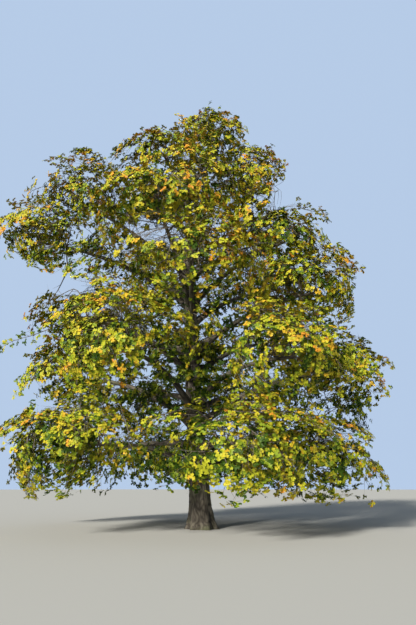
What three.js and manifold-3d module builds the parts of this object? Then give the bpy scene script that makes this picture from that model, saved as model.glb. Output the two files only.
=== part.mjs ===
// A broad oak in its autumn leaves: one leaning trunk that runs up through the crown, boughs that leave it
// in tiers, and a mass of leaf sprays at the end of every limb.
// Millimetres, +Z up. The origin is the centre of the flat cut at ground level, +X is the right-hand side
// of the crown and -Y its front. Angles round the trunk are counted from +X towards the back.

import * as THREE from 'three';
import { mergeVertices } from 'three/addons/utils/BufferGeometryUtils.js';
import Module from 'manifold-3d';

const wasm = await Module();
wasm.setup();

const METRE = 1000;
const DEGREE = Math.PI / 180;
const CLEARANCE = 0.3; // between two solids that meet

// The trunk leans to the left as it rises, and flares into six root buttresses at the ground.
const TRUNK = {
	height: 16.6 * METRE,
	lean: 0.72 * METRE,
	radius: 0.41 * METRE,
	thinning: 0.78, // share of the radius that is gone at the top
	thinningPower: 1.6,
	flare: 0.3 * METRE,
	flareHeight: 0.5 * METRE,
	buttresses: 6,
	buttressTurn: 0.5, // radians from +X to the first one
	buttressDepth: 0.32, // how deep the hollows between them are, as a share of the flare
	sides: 16,
	rings: 9,
	ringPower: 1.5, // gathers the rings near the ground
};

// Each tier is a ring of foliage masses round the trunk, in metres and degrees. height is that of their
// centres, foot that of the lowest limb's root on the trunk, and lean how far the left side of the ring lies
// above that height. left, right, front and back are the distances from the trunk to the centres. radial,
// tangential and vertical are half the size of one mass, and droop tips its outer edge down. limb is the
// radius of a limb at its root, and arch how far it bows upwards.
const TIERS = [
	{ name: 'skirt', height: 2.75, lean: 0, foot: 2.1, count: 6, phase: 44,
		left: 6.1, right: 5.1, front: 5.4, back: 5.4,
		radial: 2.45, tangential: 3.5, vertical: 1.65, droop: 20, limb: 0.13, arch: 0.9 },
	{ name: 'low', height: 5.9, lean: 0, foot: 3.9, count: 6, phase: 8,
		left: 5.5, right: 6.3, front: 5.7, back: 5.8,
		radial: 2.5, tangential: 3.2, vertical: 1.75, droop: 12, limb: 0.15, arch: 0.9 },
	{ name: 'middle', height: 8.6, lean: -0.2, foot: 6.1, count: 6, phase: 36,
		left: 4.4, right: 5.6, front: 5.5, back: 5.8,
		radial: 2.5, tangential: 3.1, vertical: 1.7, droop: 6, limb: 0.15, arch: 0.5 },
	{ name: 'upper', height: 11.9, lean: 0.7, foot: 8.5, count: 5, phase: 41,
		left: 6.6, right: 4.7, front: 4.8, back: 5.4,
		radial: 2.5, tangential: 3.2, vertical: 1.75, droop: 0, limb: 0.14, arch: 0.3 },
	{ name: 'shoulder', height: 13.9, lean: 0.65, foot: 10.8, count: 4, phase: 10,
		left: 5.4, right: 2.8, front: 3.0, back: 4.2,
		radial: 2.5, tangential: 3.1, vertical: 1.7, droop: -6, limb: 0.12, arch: 0 },
	{ name: 'crest', height: 16.3, lean: 0, foot: 13.9, count: 3, phase: 0,
		left: 3.9, right: 3.2, front: 2.1, back: 2.6,
		radial: 2.1, tangential: 2.4, vertical: 1.6, droop: -12, limb: 0.11, arch: 0, onTrunk: true },
	{ name: 'top', height: 17.9, lean: 0, foot: 15.2, count: 1, phase: 0,
		left: 1.2, right: 1.2, front: 1.2, back: 1.2,
		radial: 2.3, tangential: 2.2, vertical: 1.7, droop: 0, limb: 0.11, arch: 0, onTrunk: true },
];

// How far a mass strays from its ring.
const SCATTER = { turn: 7 * DEGREE, reach: 0.05, height: 0.5 * METRE };

// Which number of a mass's own series decides what.
const DRAW = { turn: 1, reach: 2, height: 3, places: 10, tiltAcross: 60, tiltDepth: 80 };

const LIMB = {
	taper: 0.66, // share of the radius that is gone where the stem ends
	taperPower: 0.8,
	collar: 0.55, // swelling where the limb leaves the trunk, as a share of its radius
	collarReach: 0.4 * METRE,
	sides: 5,
	steps: 4,
	entry: 0.93, // how far out in a mass its bough ends, as a share of the way to its skin
	climb: 1.5 * METRE, // over which the roots of one tier's limbs are spread up the trunk
	core: [0.12, 0, -0.1], // where in a mass its stem ends, from its centre as shares of its half sizes
	start: { reach: 0.34, rise: 0.42 }, // how far out and up its way from the trunk aims
	finish: { reach: 0.36, rise: 0.08, arch: 0.5 }, // how far back and down its way into the mass starts
	search: 0.005, // steps in which the place where it enters the mass is looked for
	sampleStep: 90,
	stemSides: 5,
	stemSteps: 2,
	leaderSteps: 5, // the steps of a stem that comes straight from the trunk
	steep: 0.85, // above this rise per length a limb's sides are laid out from +X
};

// Twigs leave the stem for places that are evenly spread round the mass, and end in a spray.
const TWIG = {
	places: 5, // round the whole mass, of which those below and behind stay empty
	footMiddle: 0.55, // where on the stem a twig to the side starts
	footReach: 0.4, // how much further on one to the outer edge does
	rootRadius: 30,
	tipRadius: 15,
	sides: 3,
	steps: 2,
	tests: 8, // places along it where its room is tested
	bend: 0.4, // how early a twig turns into the way of its spray, as a share of its length
	leastDown: -0.7,
	leastOut: -0.75,
};

// A spray is a flat lobed blade that stands for a twig's end with its leaves.
const SPRAY = {
	length: 2.3 * METRE,
	width: 2.05 * METRE,
	thickness: 44,
	// One half of its outline from root to tip, along and across, as shares of its length and width.
	outline: [[0, 0], [0.4, 0.5], [0.55, 0.22], [0.8, 0.36], [1, 0]],
	heart: 0.5, // how far along it is thickest, as a share of its length
	sizes: [1, 0.87, 0.74, 0.62, 0.5], // tried in turn until the spray keeps to its space
	depth: 0.7, // how far out the middle of an end spray lies, as a share of the way to the skin
	retreat: 0.8, // how much deeper smaller sprays lie
	lay: 0.6, // 0 lies level, 1 lies flat on the skin of the mass
	droop: 0.35, // how much its tip hangs
	tilt: 0.16, // how much sprays differ
	sideFeet: [0.5, 0.8], // where on the twig its side sprays grow
	sideTurn: 58 * DEGREE,
	sideSizes: [0.92, 0.8, 0.68, 0.58],
	sunk: 8, // how far its root lies back in the twig
	free: 0.3, // share of a spray from its root within which it may touch its own twig
};

// How near a solid may come to its mass's skin, to the next mass, and to a bough or the trunk.
const SPACE = { skin: 0.985, between: 0.035, limb: 60 };
const WELD = 1e-2; // vertices nearer than this are one

const BARK = new THREE.MeshStandardMaterial({ color: 0x5c5349, roughness: 0.95, metalness: 0 });
const FOLIAGE_COLOURS = [0x8b8f2c, 0x979430, 0x7d8729, 0xa3982f, 0x87892a];

const UP = new THREE.Vector3(0, 0, 1);
const RIGHT = new THREE.Vector3(1, 0, 0);

// The same number between 0 and 1 for the same pair of whole numbers.
function chance(seed, draw) {
	let h = Math.imul(seed + 0x9e3779b9, 0x85ebca6b) ^ Math.imul(draw + 1, 0xc2b2ae35);
	h ^= h >>> 15;
	h = Math.imul(h, 0x2c1b3c6d);
	h ^= h >>> 12;
	h = Math.imul(h, 0x297a2d39);
	h ^= h >>> 15;
	return (h >>> 0) / 2 ** 32;
}

function spread(seed, draw) {
	return 2 * chance(seed, draw) - 1;
}

function trunkCentre(z) {
	const rise = Math.sin((Math.PI / 2) * Math.min(z / TRUNK.height, 1));
	return new THREE.Vector3(-TRUNK.lean * rise, 0, z);
}

function trunkRadius(z, angle) {
	const stem = TRUNK.radius * (1 - TRUNK.thinning * (z / TRUNK.height) ** TRUNK.thinningPower);
	const wave = Math.cos(TRUNK.buttresses * angle + TRUNK.buttressTurn);
	const lobes = 1 - TRUNK.buttressDepth + TRUNK.buttressDepth * wave;
	return stem + TRUNK.flare * Math.exp(-z / TRUNK.flareHeight) * lobes;
}

// Moves every vertex of a unit cylinder, whose axis is Y, to place(along, angle, outwards).
function bentCylinder(sides, steps, place) {
	const geometry = new THREE.CylinderGeometry(1, 1, 1, sides, steps);
	geometry.deleteAttribute('normal');
	geometry.deleteAttribute('uv');
	const position = geometry.getAttribute('position');
	for (let i = 0; i < position.count; i++) {
		const x = position.getX(i);
		const z = position.getZ(i);
		const p = place(position.getY(i) + 0.5, Math.atan2(z, x), Math.hypot(x, z));
		position.setXYZ(i, p.x, p.y, p.z);
	}
	return geometry;
}

function solidOf(geometry) {
	const merged = mergeVertices(geometry, WELD);
	const mesh = new wasm.Mesh({
		numProp: 3,
		vertProperties: new Float32Array(merged.getAttribute('position').array),
		triVerts: new Uint32Array(merged.index.array),
	});
	return new wasm.Manifold(mesh);
}

function geometryOf(solid) {
	const { numProp, vertProperties, triVerts } = solid.getMesh();
	const points = new Float32Array(triVerts.length * 3);
	triVerts.forEach((vertex, i) => {
		const from = vertex * numProp;
		points.set(vertProperties.subarray(from, from + 3), i * 3);
	});
	const geometry = new THREE.BufferGeometry();
	geometry.setAttribute('position', new THREE.BufferAttribute(points, 3));
	geometry.computeVertexNormals();
	return geometry;
}

// The trunk as one lofted solid. grown makes it that much thicker, to cut limbs clear of it.
function trunkGeometry(grown = 0) {
	return bentCylinder(TRUNK.sides, TRUNK.rings, (along, angle, outwards) => {
		const z = TRUNK.height * along ** TRUNK.ringPower;
		const radius = (trunkRadius(z, -angle) + grown) * outwards;
		const outward = new THREE.Vector3(Math.cos(angle), -Math.sin(angle), 0);
		return trunkCentre(z).addScaledVector(outward, radius);
	});
}

// A round tapering limb along a curve, from one share of its way to another. It starts and ends square.
function limbGeometry(curve, from, to, sides, steps, radiusAt) {
	const chord = curve.getPoint(to).sub(curve.getPoint(from)).normalize();
	const reference = Math.abs(chord.z) > LIMB.steep ? RIGHT : UP;
	return bentCylinder(sides, steps, (along, angle, outwards) => {
		const t = from + (to - from) * along;
		const tangent = curve.getTangent(t);
		const side = new THREE.Vector3().crossVectors(tangent, reference).normalize();
		const up = new THREE.Vector3().crossVectors(side, tangent);
		const radius = radiusAt(t) * outwards;
		return curve.getPoint(t)
			.addScaledVector(side, radius * Math.cos(angle))
			.addScaledVector(up, radius * Math.sin(angle));
	});
}

// One mass of a tier, with its centre, its own frame and its half sizes.
function layOutMass(tier, tierIndex, i) {
	const seed = 100 * (tierIndex + 1) + i;
	const ahead = (tier.phase + (360 / tier.count) * i) * DEGREE;
	const turn = ahead + SCATTER.turn * spread(seed, DRAW.turn);
	const outward = new THREE.Vector3(Math.cos(turn), Math.sin(turn), 0);
	const across = outward.x * (outward.x > 0 ? tier.right : tier.left);
	const deep = outward.y * (outward.y > 0 ? tier.back : tier.front);
	const reach = Math.hypot(across * METRE, deep * METRE) * (1 + SCATTER.reach * spread(seed, DRAW.reach));
	const level = (tier.height - tier.lean * outward.x) * METRE;
	const height = level + SCATTER.height * spread(seed, DRAW.height);
	const climb = ((2 * i) % tier.count) / tier.count;
	const droop = tier.droop * DEGREE;
	return {
		name: tier.name + '_' + (i + 1),
		seed,
		tier,
		outward,
		reach,
		foot: tier.foot * METRE + LIMB.climb * climb,
		centre: trunkCentre(height).addScaledVector(outward, reach),
		out: outward.clone().multiplyScalar(Math.cos(droop)).addScaledVector(UP, -Math.sin(droop)),
		along: new THREE.Vector3(-outward.y, outward.x, 0),
		up: outward.clone().multiplyScalar(Math.sin(droop)).addScaledVector(UP, Math.cos(droop)),
		half: new THREE.Vector3(tier.radial, tier.tangential, tier.vertical).multiplyScalar(METRE),
	};
}

function layOutMasses() {
	return TIERS.flatMap((tier, tierIndex) => {
		const places = Array.from({ length: tier.count }, (_, i) => i);
		return places.map((i) => layOutMass(tier, tierIndex, i));
	});
}

// How far a point lies on the way from the centre of a mass, 0, to its skin, 1.
function depthIn(mass, point) {
	const from = point.clone().sub(mass.centre);
	const { out, along, up, half } = mass;
	return Math.hypot(from.dot(out) / half.x, from.dot(along) / half.y, from.dot(up) / half.z);
}

function keepsToSpace(mass, point) {
	const own = depthIn(mass, point);
	if (own > SPACE.skin) return false;
	return masses.every((other) => other === mass || depthIn(other, point) > own + SPACE.between);
}

function pointInMass(mass, out, along, up) {
	return mass.centre.clone()
		.addScaledVector(mass.out, out * mass.half.x)
		.addScaledVector(mass.along, along * mass.half.y)
		.addScaledVector(mass.up, up * mass.half.z);
}

// The way of a limb, in one curve from the trunk's axis to the core of its mass.
function limbCurve(mass) {
	const { tier, outward, reach, foot } = mass;
	const arch = tier.arch * METRE;
	const root = trunkCentre(foot);
	const core = pointInMass(mass, ...LIMB.core);
	const rise = core.z - root.z;
	const first = root.clone().addScaledVector(outward, LIMB.start.reach * reach);
	first.z += LIMB.start.rise * rise + arch;
	const second = core.clone().addScaledVector(outward, -LIMB.finish.reach * reach);
	second.z += LIMB.finish.arch * arch - LIMB.finish.rise * rise;
	return new THREE.CubicBezierCurve3(root, first, second, core);
}

// The bough is the bare part of a limb, up to its entry into the mass, and the stem is the rest.
function limbOf(mass) {
	const { tier, foot } = mass;
	const curve = limbCurve(mass);
	const length = curve.getLength();
	let entry = 0;
	while (depthIn(mass, curve.getPoint(entry)) > LIMB.entry) entry += LIMB.search;
	const rootRadius = tier.limb * METRE;
	const radiusAt = (t) => {
		const fromTrunk = Math.max(t * length - trunkRadius(foot, 0), 0);
		const swelling = rootRadius * LIMB.collar * Math.exp(-fromTrunk / LIMB.collarReach);
		return rootRadius * (1 - LIMB.taper * t ** LIMB.taperPower) + swelling;
	};
	const stem = tier.onTrunk
		? { from: 0, steps: LIMB.leaderSteps }
		: { from: entry + CLEARANCE / length, steps: LIMB.stemSteps };
	return { curve, entry, length, radiusAt, stem };
}

// A point on the axis of a limb as it is built, straight between its rings.
function axisPoint(curve, from, steps, t) {
	const step = (1 - from) / steps;
	const ring = Math.min(Math.floor((t - from) / step), steps - 1);
	const start = from + ring * step;
	return curve.getPoint(start).lerp(curve.getPoint(start + step), (t - start) / step);
}

// Points along the trunk and the bare boughs, with the radius there.
function sampleLimbs() {
	const found = [];
	for (let z = 0; z < TRUNK.height; z += LIMB.sampleStep) {
		found.push({ at: trunkCentre(z), radius: trunkRadius(z, 0) });
	}
	for (const { tier, limb } of masses) {
		if (tier.onTrunk) continue;
		const count = Math.ceil((limb.length * limb.entry) / LIMB.sampleStep);
		for (let i = 0; i <= count; i++) {
			const t = (limb.entry * i) / count;
			found.push({ at: limb.curve.getPoint(t), radius: limb.radiusAt(t) });
		}
	}
	return found;
}

function nearLimb(point) {
	const free = TWIG.rootRadius + SPACE.limb;
	return limbSamples.some(({ at, radius }) => at.distanceTo(point) < radius + free);
}

// The blade of a spray from its root, the way it grows and the way its upper face looks.
function bladeOf(root, way, face, size) {
	const across = new THREE.Vector3().crossVectors(face, way);
	const length = SPRAY.length * size;
	const width = SPRAY.width * size;
	const at = (along, sideways, upwards = 0) => root.clone()
		.addScaledVector(way, along * length)
		.addScaledVector(across, sideways * width)
		.addScaledVector(face, upwards * SPRAY.thickness * size);
	return { way, face, across, length, width, at };
}

// Whether a limb with this radius at this place keeps off the box round the blade.
function limbKeepsOff(blade, at, radius) {
	const from = at.clone().sub(blade.at(0, 0));
	const gap = radius + SPACE.limb;
	const along = from.dot(blade.way);
	const across = Math.abs(from.dot(blade.across));
	const above = Math.abs(from.dot(blade.face));
	return along < -gap
		|| along > blade.length + gap
		|| across > blade.width / 2 + gap
		|| above > SPRAY.thickness / 2 + gap;
}

function bladeIsClear(blade, mass) {
	const half = SPRAY.outline.slice(1);
	const leftHalf = half.map(([along, sideways]) => blade.at(along, sideways));
	const rightHalf = half.map(([along, sideways]) => blade.at(along, -sideways));
	const outline = [...leftHalf, ...rightHalf];
	const heart = blade.at(SPRAY.heart, 0);
	const inner = outline.map((point) => point.clone().lerp(heart, 0.5));
	return [...outline, ...inner].every((point) => keepsToSpace(mass, point))
		&& limbSamples.every(({ at, radius }) => limbKeepsOff(blade, at, radius));
}

// The blade as two low pyramids on its outline. Its root is moved along it to the share given.
function bladeGeometry(blade, from = 0) {
	const last = SPRAY.outline.length - 1;
	const geometry = new THREE.SphereGeometry(1, 2 * last, 2);
	geometry.deleteAttribute('normal');
	geometry.deleteAttribute('uv');
	const position = geometry.getAttribute('position');
	for (let i = 0; i < position.count; i++) {
		const x = position.getX(i);
		const pole = Math.round(position.getY(i));
		const z = position.getZ(i);
		const index = Math.round((last * Math.atan2(Math.abs(z), -x)) / Math.PI);
		const [along, sideways] = pole ? [SPRAY.heart, 0] : SPRAY.outline[index];
		const start = from * (1 - along) - (index ? 0 : SPRAY.sunk / blade.length);
		const p = blade.at(along + (pole ? 0 : start), -Math.sign(z) * sideways, pole / 2);
		position.setXYZ(i, p.x, p.y, p.z);
	}
	return geometry;
}

// The way a spray's upper face looks: between straight up and straight out of the mass.
function faceAt(mass, place, index) {
	const skin = mass.out.clone().multiplyScalar(place.x / mass.half.x)
		.addScaledVector(mass.along, place.y / mass.half.y)
		.addScaledVector(mass.up, place.z / mass.half.z)
		.normalize();
	const face = UP.clone().lerp(skin, SPRAY.lay);
	face.x += SPRAY.tilt * spread(mass.seed, DRAW.tiltAcross + index);
	face.y += SPRAY.tilt * spread(mass.seed, DRAW.tiltDepth + index);
	return face.normalize();
}

function crosses(solid, blade) {
	return !solid.intersect(solidOf(bladeGeometry(blade, SPRAY.free))).isEmpty();
}

// A twig with an end spray of this size: it leaves the stem at foot and turns into the way of the spray.
function twigOf(mass, foot, face, place, size) {
	const depth = SPRAY.depth * (1 - SPRAY.retreat * (1 - size));
	const middle = pointInMass(mass, place.x * depth, place.y * depth, place.z * depth);
	const way = middle.clone().sub(foot).normalize();
	way.z -= SPRAY.droop;
	way.addScaledVector(face, -way.dot(face)).normalize();
	const root = middle.clone().addScaledVector(way, -0.5 * SPRAY.length * size);
	const turn = root.clone().addScaledVector(way, -TWIG.bend * foot.distanceTo(root));
	const curve = new THREE.QuadraticBezierCurve3(foot, turn, root);
	return { curve, blade: bladeOf(root, way, face, size) };
}

// The twig to one place on the mass with the largest end spray that keeps to its space, or none. Where a
// large spray finds no room, a smaller one lies deeper in the mass.
function growTwig(mass, solid, place, index) {
	const { curve: limb, entry, stem } = mass.limb;
	const face = faceAt(mass, place, index);
	const share = TWIG.footMiddle + TWIG.footReach * place.x;
	const foot = axisPoint(limb, stem.from, stem.steps, entry + (1 - entry) * share);
	return SPRAY.sizes
		.map((size) => twigOf(mass, foot, face, place, size))
		.find(({ curve, blade }) => {
			const points = curve.getPoints(TWIG.tests).slice(1);
			return points.every((point) => keepsToSpace(mass, point) && !nearLimb(point))
				&& bladeIsClear(blade, mass)
				&& !crosses(solid, blade);
		});
}

// Side sprays leave the twig to the left and the right in turn.
function sideBlade(mass, solid, twig, side, index) {
	const root = axisPoint(twig.curve, 0, TWIG.steps, SPRAY.sideFeet[side]);
	const hand = (side + index) % 2 ? 1 : -1;
	const { face } = twig.blade;
	const way = twig.curve.getTangent(SPRAY.sideFeet[side]);
	way.addScaledVector(face, -way.dot(face)).normalize();
	way.applyAxisAngle(face, hand * SPRAY.sideTurn);
	return SPRAY.sideSizes
		.map((size) => bladeOf(root, way, face, size))
		.find((blade) => bladeIsClear(blade, mass) && !crosses(solid, blade));
}

// The places that twigs grow to: a spiral over the mass, without those below it and behind it.
function placesOf(mass) {
	const golden = Math.PI * (3 - Math.sqrt(5));
	const places = Array.from({ length: TWIG.places }, (_, k) => {
		const up = 1 - (2 * (k + 0.5)) / TWIG.places;
		const ring = Math.sqrt(1 - up * up);
		const turn = golden * k + 2 * Math.PI * chance(mass.seed, DRAW.places);
		return new THREE.Vector3(ring * Math.cos(turn), ring * Math.sin(turn), up);
	});
	return places.filter((place) => place.z > TWIG.leastDown && place.x > TWIG.leastOut);
}

// The largest body of a fused solid: hollows sealed inside it are filled and loose scraps dropped.
function wholePiece(solid) {
	return solid.decompose().reduce((best, body) => (body.volume() > best.volume() ? body : best));
}

const masses = layOutMasses();
for (const mass of masses) mass.limb = limbOf(mass);
const limbSamples = sampleLimbs();
const trunkCutter = solidOf(trunkGeometry(2 * CLEARANCE));

const oak = new THREE.Group();

function addPiece(name, solid, material) {
	const mesh = new THREE.Mesh(geometryOf(solid), material);
	mesh.name = name;
	oak.add(mesh);
}

function boughSolid(mass) {
	const { curve, entry, radiusAt } = mass.limb;
	const limb = solidOf(limbGeometry(curve, 0, entry, LIMB.sides, LIMB.steps, radiusAt));
	return wholePiece(limb.subtract(trunkCutter));
}

function stemSolid(mass) {
	const { curve, radiusAt, stem } = mass.limb;
	const solid = solidOf(limbGeometry(curve, stem.from, 1, LIMB.stemSides, stem.steps, radiusAt));
	return mass.tier.onTrunk ? wholePiece(solid.subtract(trunkCutter)) : solid;
}

function twigSolid(curve) {
	const radiusAt = (t) => TWIG.rootRadius + (TWIG.tipRadius - TWIG.rootRadius) * t;
	return solidOf(limbGeometry(curve, 0, 1, TWIG.sides, TWIG.steps, radiusAt));
}

// The stem of a mass with its twigs and sprays, each fused on in turn so that the next keeps off it.
function foliageSolid(mass) {
	let solid = stemSolid(mass);
	placesOf(mass).forEach((place, index) => {
		const twig = growTwig(mass, solid, place, index);
		if (!twig) return;
		solid = solid.add(twigSolid(twig.curve));
		solid = solid.add(solidOf(bladeGeometry(twig.blade)));
		SPRAY.sideFeet.forEach((_, side) => {
			const blade = sideBlade(mass, solid, twig, side, index);
			if (blade) solid = solid.add(solidOf(bladeGeometry(blade)));
		});
	});
	return wholePiece(solid);
}

addPiece('trunk', solidOf(trunkGeometry()), BARK);
masses.forEach((mass, i) => {
	if (!mass.tier.onTrunk) addPiece('bough_' + mass.name, boughSolid(mass), BARK);
	const color = FOLIAGE_COLOURS[i % FOLIAGE_COLOURS.length];
	const foliage = new THREE.MeshStandardMaterial({ color, roughness: 0.8, metalness: 0 });
	addPiece('foliage_' + mass.name, foliageSolid(mass), foliage);
});

export default oak;
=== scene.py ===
"""A broad oak in its autumn leaves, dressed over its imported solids.

Every limb of the solids is built again here with the relief of its bark, and the rule by which their twigs
grow is carried on to finer twigs, each ending in a spray of lobed leaves, within the same spaces. Metres, +Z
up. The origin is the centre of the trunk's flat cut at ground level, +X is the right-hand side of the crown
and -Y its front.
"""

import logging
import math
from dataclasses import dataclass, field, fields
from enum import Enum, IntEnum
from typing import Any

import bpy
import numpy as np
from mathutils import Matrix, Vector, noise
from numpy.typing import NDArray


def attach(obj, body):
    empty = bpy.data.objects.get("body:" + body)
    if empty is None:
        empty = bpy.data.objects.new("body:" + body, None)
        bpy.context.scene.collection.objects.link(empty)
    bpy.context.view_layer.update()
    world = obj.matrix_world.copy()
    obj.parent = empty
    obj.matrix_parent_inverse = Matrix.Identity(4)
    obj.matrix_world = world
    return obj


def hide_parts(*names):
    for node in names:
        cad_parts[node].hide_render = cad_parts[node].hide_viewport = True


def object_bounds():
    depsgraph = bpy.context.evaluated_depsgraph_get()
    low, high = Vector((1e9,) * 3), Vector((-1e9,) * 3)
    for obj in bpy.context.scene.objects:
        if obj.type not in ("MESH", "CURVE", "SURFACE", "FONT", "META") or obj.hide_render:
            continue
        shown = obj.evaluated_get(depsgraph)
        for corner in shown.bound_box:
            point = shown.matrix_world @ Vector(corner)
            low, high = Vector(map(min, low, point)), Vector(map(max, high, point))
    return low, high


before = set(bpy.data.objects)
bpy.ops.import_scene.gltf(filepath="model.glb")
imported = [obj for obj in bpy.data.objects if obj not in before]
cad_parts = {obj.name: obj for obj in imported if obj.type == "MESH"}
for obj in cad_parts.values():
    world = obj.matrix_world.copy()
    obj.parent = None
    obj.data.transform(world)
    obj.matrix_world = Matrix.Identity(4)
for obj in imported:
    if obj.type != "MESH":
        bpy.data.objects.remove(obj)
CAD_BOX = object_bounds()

Array = NDArray[np.float64]
Whole = NDArray[np.int64]
Chosen = NDArray[np.bool_]
Triple = tuple[float, float, float]
Socket = bpy.types.NodeSocket

LOG = logging.getLogger("oak")
UP = np.array([0.0, 0.0, 1.0])
GOLDEN_ANGLE = math.pi * (3 - math.sqrt(5))
# Where the photograph was taken from.
EYE = (0.25, -21.0, 1.6)
# About how many leaves the tree has, counting the few that are missing from each spray.
LEAF_LIMIT = 168_000
# How many seeds each tier leaves for its masses, each mass for what grows in it, and each twig for its
# sprigs.
TIER_SEEDS = 100
MASS_SEEDS = 1000
TWIG_SEEDS = 10
# The first seeds of the shoots on a mass's bough, counted from the mass's own, of those on the trunk, and of
# the branches outside the masses.
SHOOT_SEED = 500
TRUNK_SEED = 900_000
RUNNER_SEED = 950_000
# How many seeds each sprig leaves for its sprays, and after how many they repeat.
SPRAY_SEEDS = 64
SPRAY_ROUND = 61
# How many numbers of a sprig's series each side twig has for its twiglets.
TWIGLET_DRAWS = 8


def chance(seed: Any, draw: Any) -> Array:
    """Numbers between 0 and 1 that are the same for the same pairs of whole numbers.

    Args:
        seed: Whole number or array of them, one for each thing that grows.
        draw: Whole number or array of them, one for each thing decided about it.

    Returns:
        The numbers, in the shape that the two make together.
    """
    word = np.uint32
    with np.errstate(over="ignore"):
        first = (np.asarray(seed).astype(word) + word(0x9E3779B9)) * word(0x85EBCA6B)
        second = (np.asarray(draw).astype(word) + word(1)) * word(0xC2B2AE35)
        mixed = first ^ second
        mixed = (mixed ^ (mixed >> word(15))) * word(0x2C1B3C6D)
        mixed = (mixed ^ (mixed >> word(12))) * word(0x297A2D39)
        mixed = mixed ^ (mixed >> word(15))
    return mixed.astype(np.float64) / 2**32


def spread(seed: Any, draw: Any) -> Array:
    """Numbers between -1 and 1, drawn as chance draws them."""
    return 2 * chance(seed, draw) - 1


def toss(seed: Any, first: Any, step: int = 1) -> Array:
    """Vectors of three numbers between -1 and 1, which spread draws at first and at every step from it."""
    return np.stack([spread(seed, first + step * axis) for axis in range(3)], axis=-1)


def unit(vectors: Array) -> Array:
    """The vectors at length 1."""
    return vectors / np.maximum(np.linalg.norm(vectors, axis=-1, keepdims=True), 1e-9)


def dot(a: Array, b: Array) -> Array:
    """The dot products along the last axis, which stays with length 1."""
    return np.sum(a * b, axis=-1, keepdims=True)


def on_plane(vectors: Array, normal: Array) -> Array:
    """The directions of the vectors as they lie on the planes with these normals."""
    return unit(vectors - normal * dot(vectors, normal))


def swung(ahead: Array, face: Array, turn: Any) -> Array:
    """The directions ahead, swung by so many radians to the left about the directions face."""
    turn = np.asarray(turn, float)[..., None]
    return ahead * np.cos(turn) + np.cross(face, ahead) * np.sin(turn)


class Draw(IntEnum):
    """Which number of a mass's own series decides what, as in the solids."""

    TURN = 1
    REACH = 2
    HEIGHT = 3
    PLACES = 10
    TILT_ACROSS = 60
    TILT_DEPTH = 80


class ShootDraw(IntEnum):
    """The same for a shoot on bare wood, where FACE and TOSS are the first of three numbers."""

    TURN = 1
    FACE = 2
    SIZE = 7
    TOSS = 8


class RunnerDraw(IntEnum):
    """The same for the side twigs of a branch outside the masses, where TOSS is the first of three."""

    TOSS = 10
    REACH = 60


class SprigDraw(IntEnum):
    """The same for a sprig and its sprays."""

    WANDER = 1
    SPRIG_RIPENESS = 5
    SPRAY_RIPENESS = 6
    SIZE = 7
    FOOT = 10
    TURN = 30
    REACH = 50
    TWIGLET_FOOT = 70
    TWIGLET_TURN = 200
    TWIGLET_RISE = 300
    TWIGLET_REACH = 400


class LeafDraw(IntEnum):
    """The same for the leaves of a spray, where FACE and WAY are the first of three numbers."""

    FACE = 11
    FAN = 20
    WAY = 40
    SIZE = 100
    MISSING = 120
    RIPER = 140


class Rank(IntEnum):
    """How fine a twig is, which is also the number of its finish in TWIG_FINISHES."""

    STEM = 0
    SIDE_TWIG = 1
    TWIGLET = 2


@dataclass(frozen=True)
class TrunkShape:
    """The trunk, as in the solids: it leans to the left as it rises and flares into root buttresses."""

    height: float = 16.6
    lean: float = 0.72
    radius: float = 0.41
    thinning: float = 0.78
    thinning_power: float = 1.6
    flare: float = 0.3
    flare_height: float = 0.5
    buttresses: int = 6
    buttress_turn: float = 0.5
    buttress_depth: float = 0.32

    def centre(self, z: Any) -> Array:
        """Points on the trunk's axis.

        Args:
            z: The heights.

        Returns:
            The points.
        """
        z = np.asarray(z, float)
        x = -self.lean * np.sin(math.pi / 2 * np.minimum(z / self.height, 1))
        return np.stack([x, np.zeros_like(z), z], axis=-1)

    def girth(self, z: Any, angle: Any) -> Array:
        """The trunk's radius.

        Args:
            z: Heights.
            angle: Angles, counted from +X towards the back.

        Returns:
            The radii.
        """
        z = np.asarray(z, float)
        share = np.clip(z / self.height, 0, 1)
        stem = self.radius * (1 - self.thinning * share**self.thinning_power)
        wave = np.cos(self.buttresses * np.asarray(angle, float) + self.buttress_turn)
        lobes = 1 - self.buttress_depth + self.buttress_depth * wave
        return stem + self.flare * np.exp(-z / self.flare_height) * lobes


@dataclass(frozen=True)
class Tier:
    """A ring of foliage masses round the trunk, with the sizes of the solids.

    height is that of their centres, foot that of the lowest limb's root, and lean how far the left side lies
    above that height. left, right, front and back are the distances from the trunk to the centres. radial,
    tangential and vertical are half the size of one mass, droop tips its outer edge down, limb is the radius
    of a limb at its root, and arch how far it bows upwards. leaf_skin is how far out its leaf sprays may
    start, where 1 is the skin of the mass.
    """

    name: str
    height: float
    foot: float
    count: int
    phase: float
    left: float
    right: float
    front: float
    back: float
    radial: float
    tangential: float
    vertical: float
    droop: float
    limb: float
    arch: float
    lean: float = 0.0
    on_trunk: bool = False
    leaf_skin: float = 1.12


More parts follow.
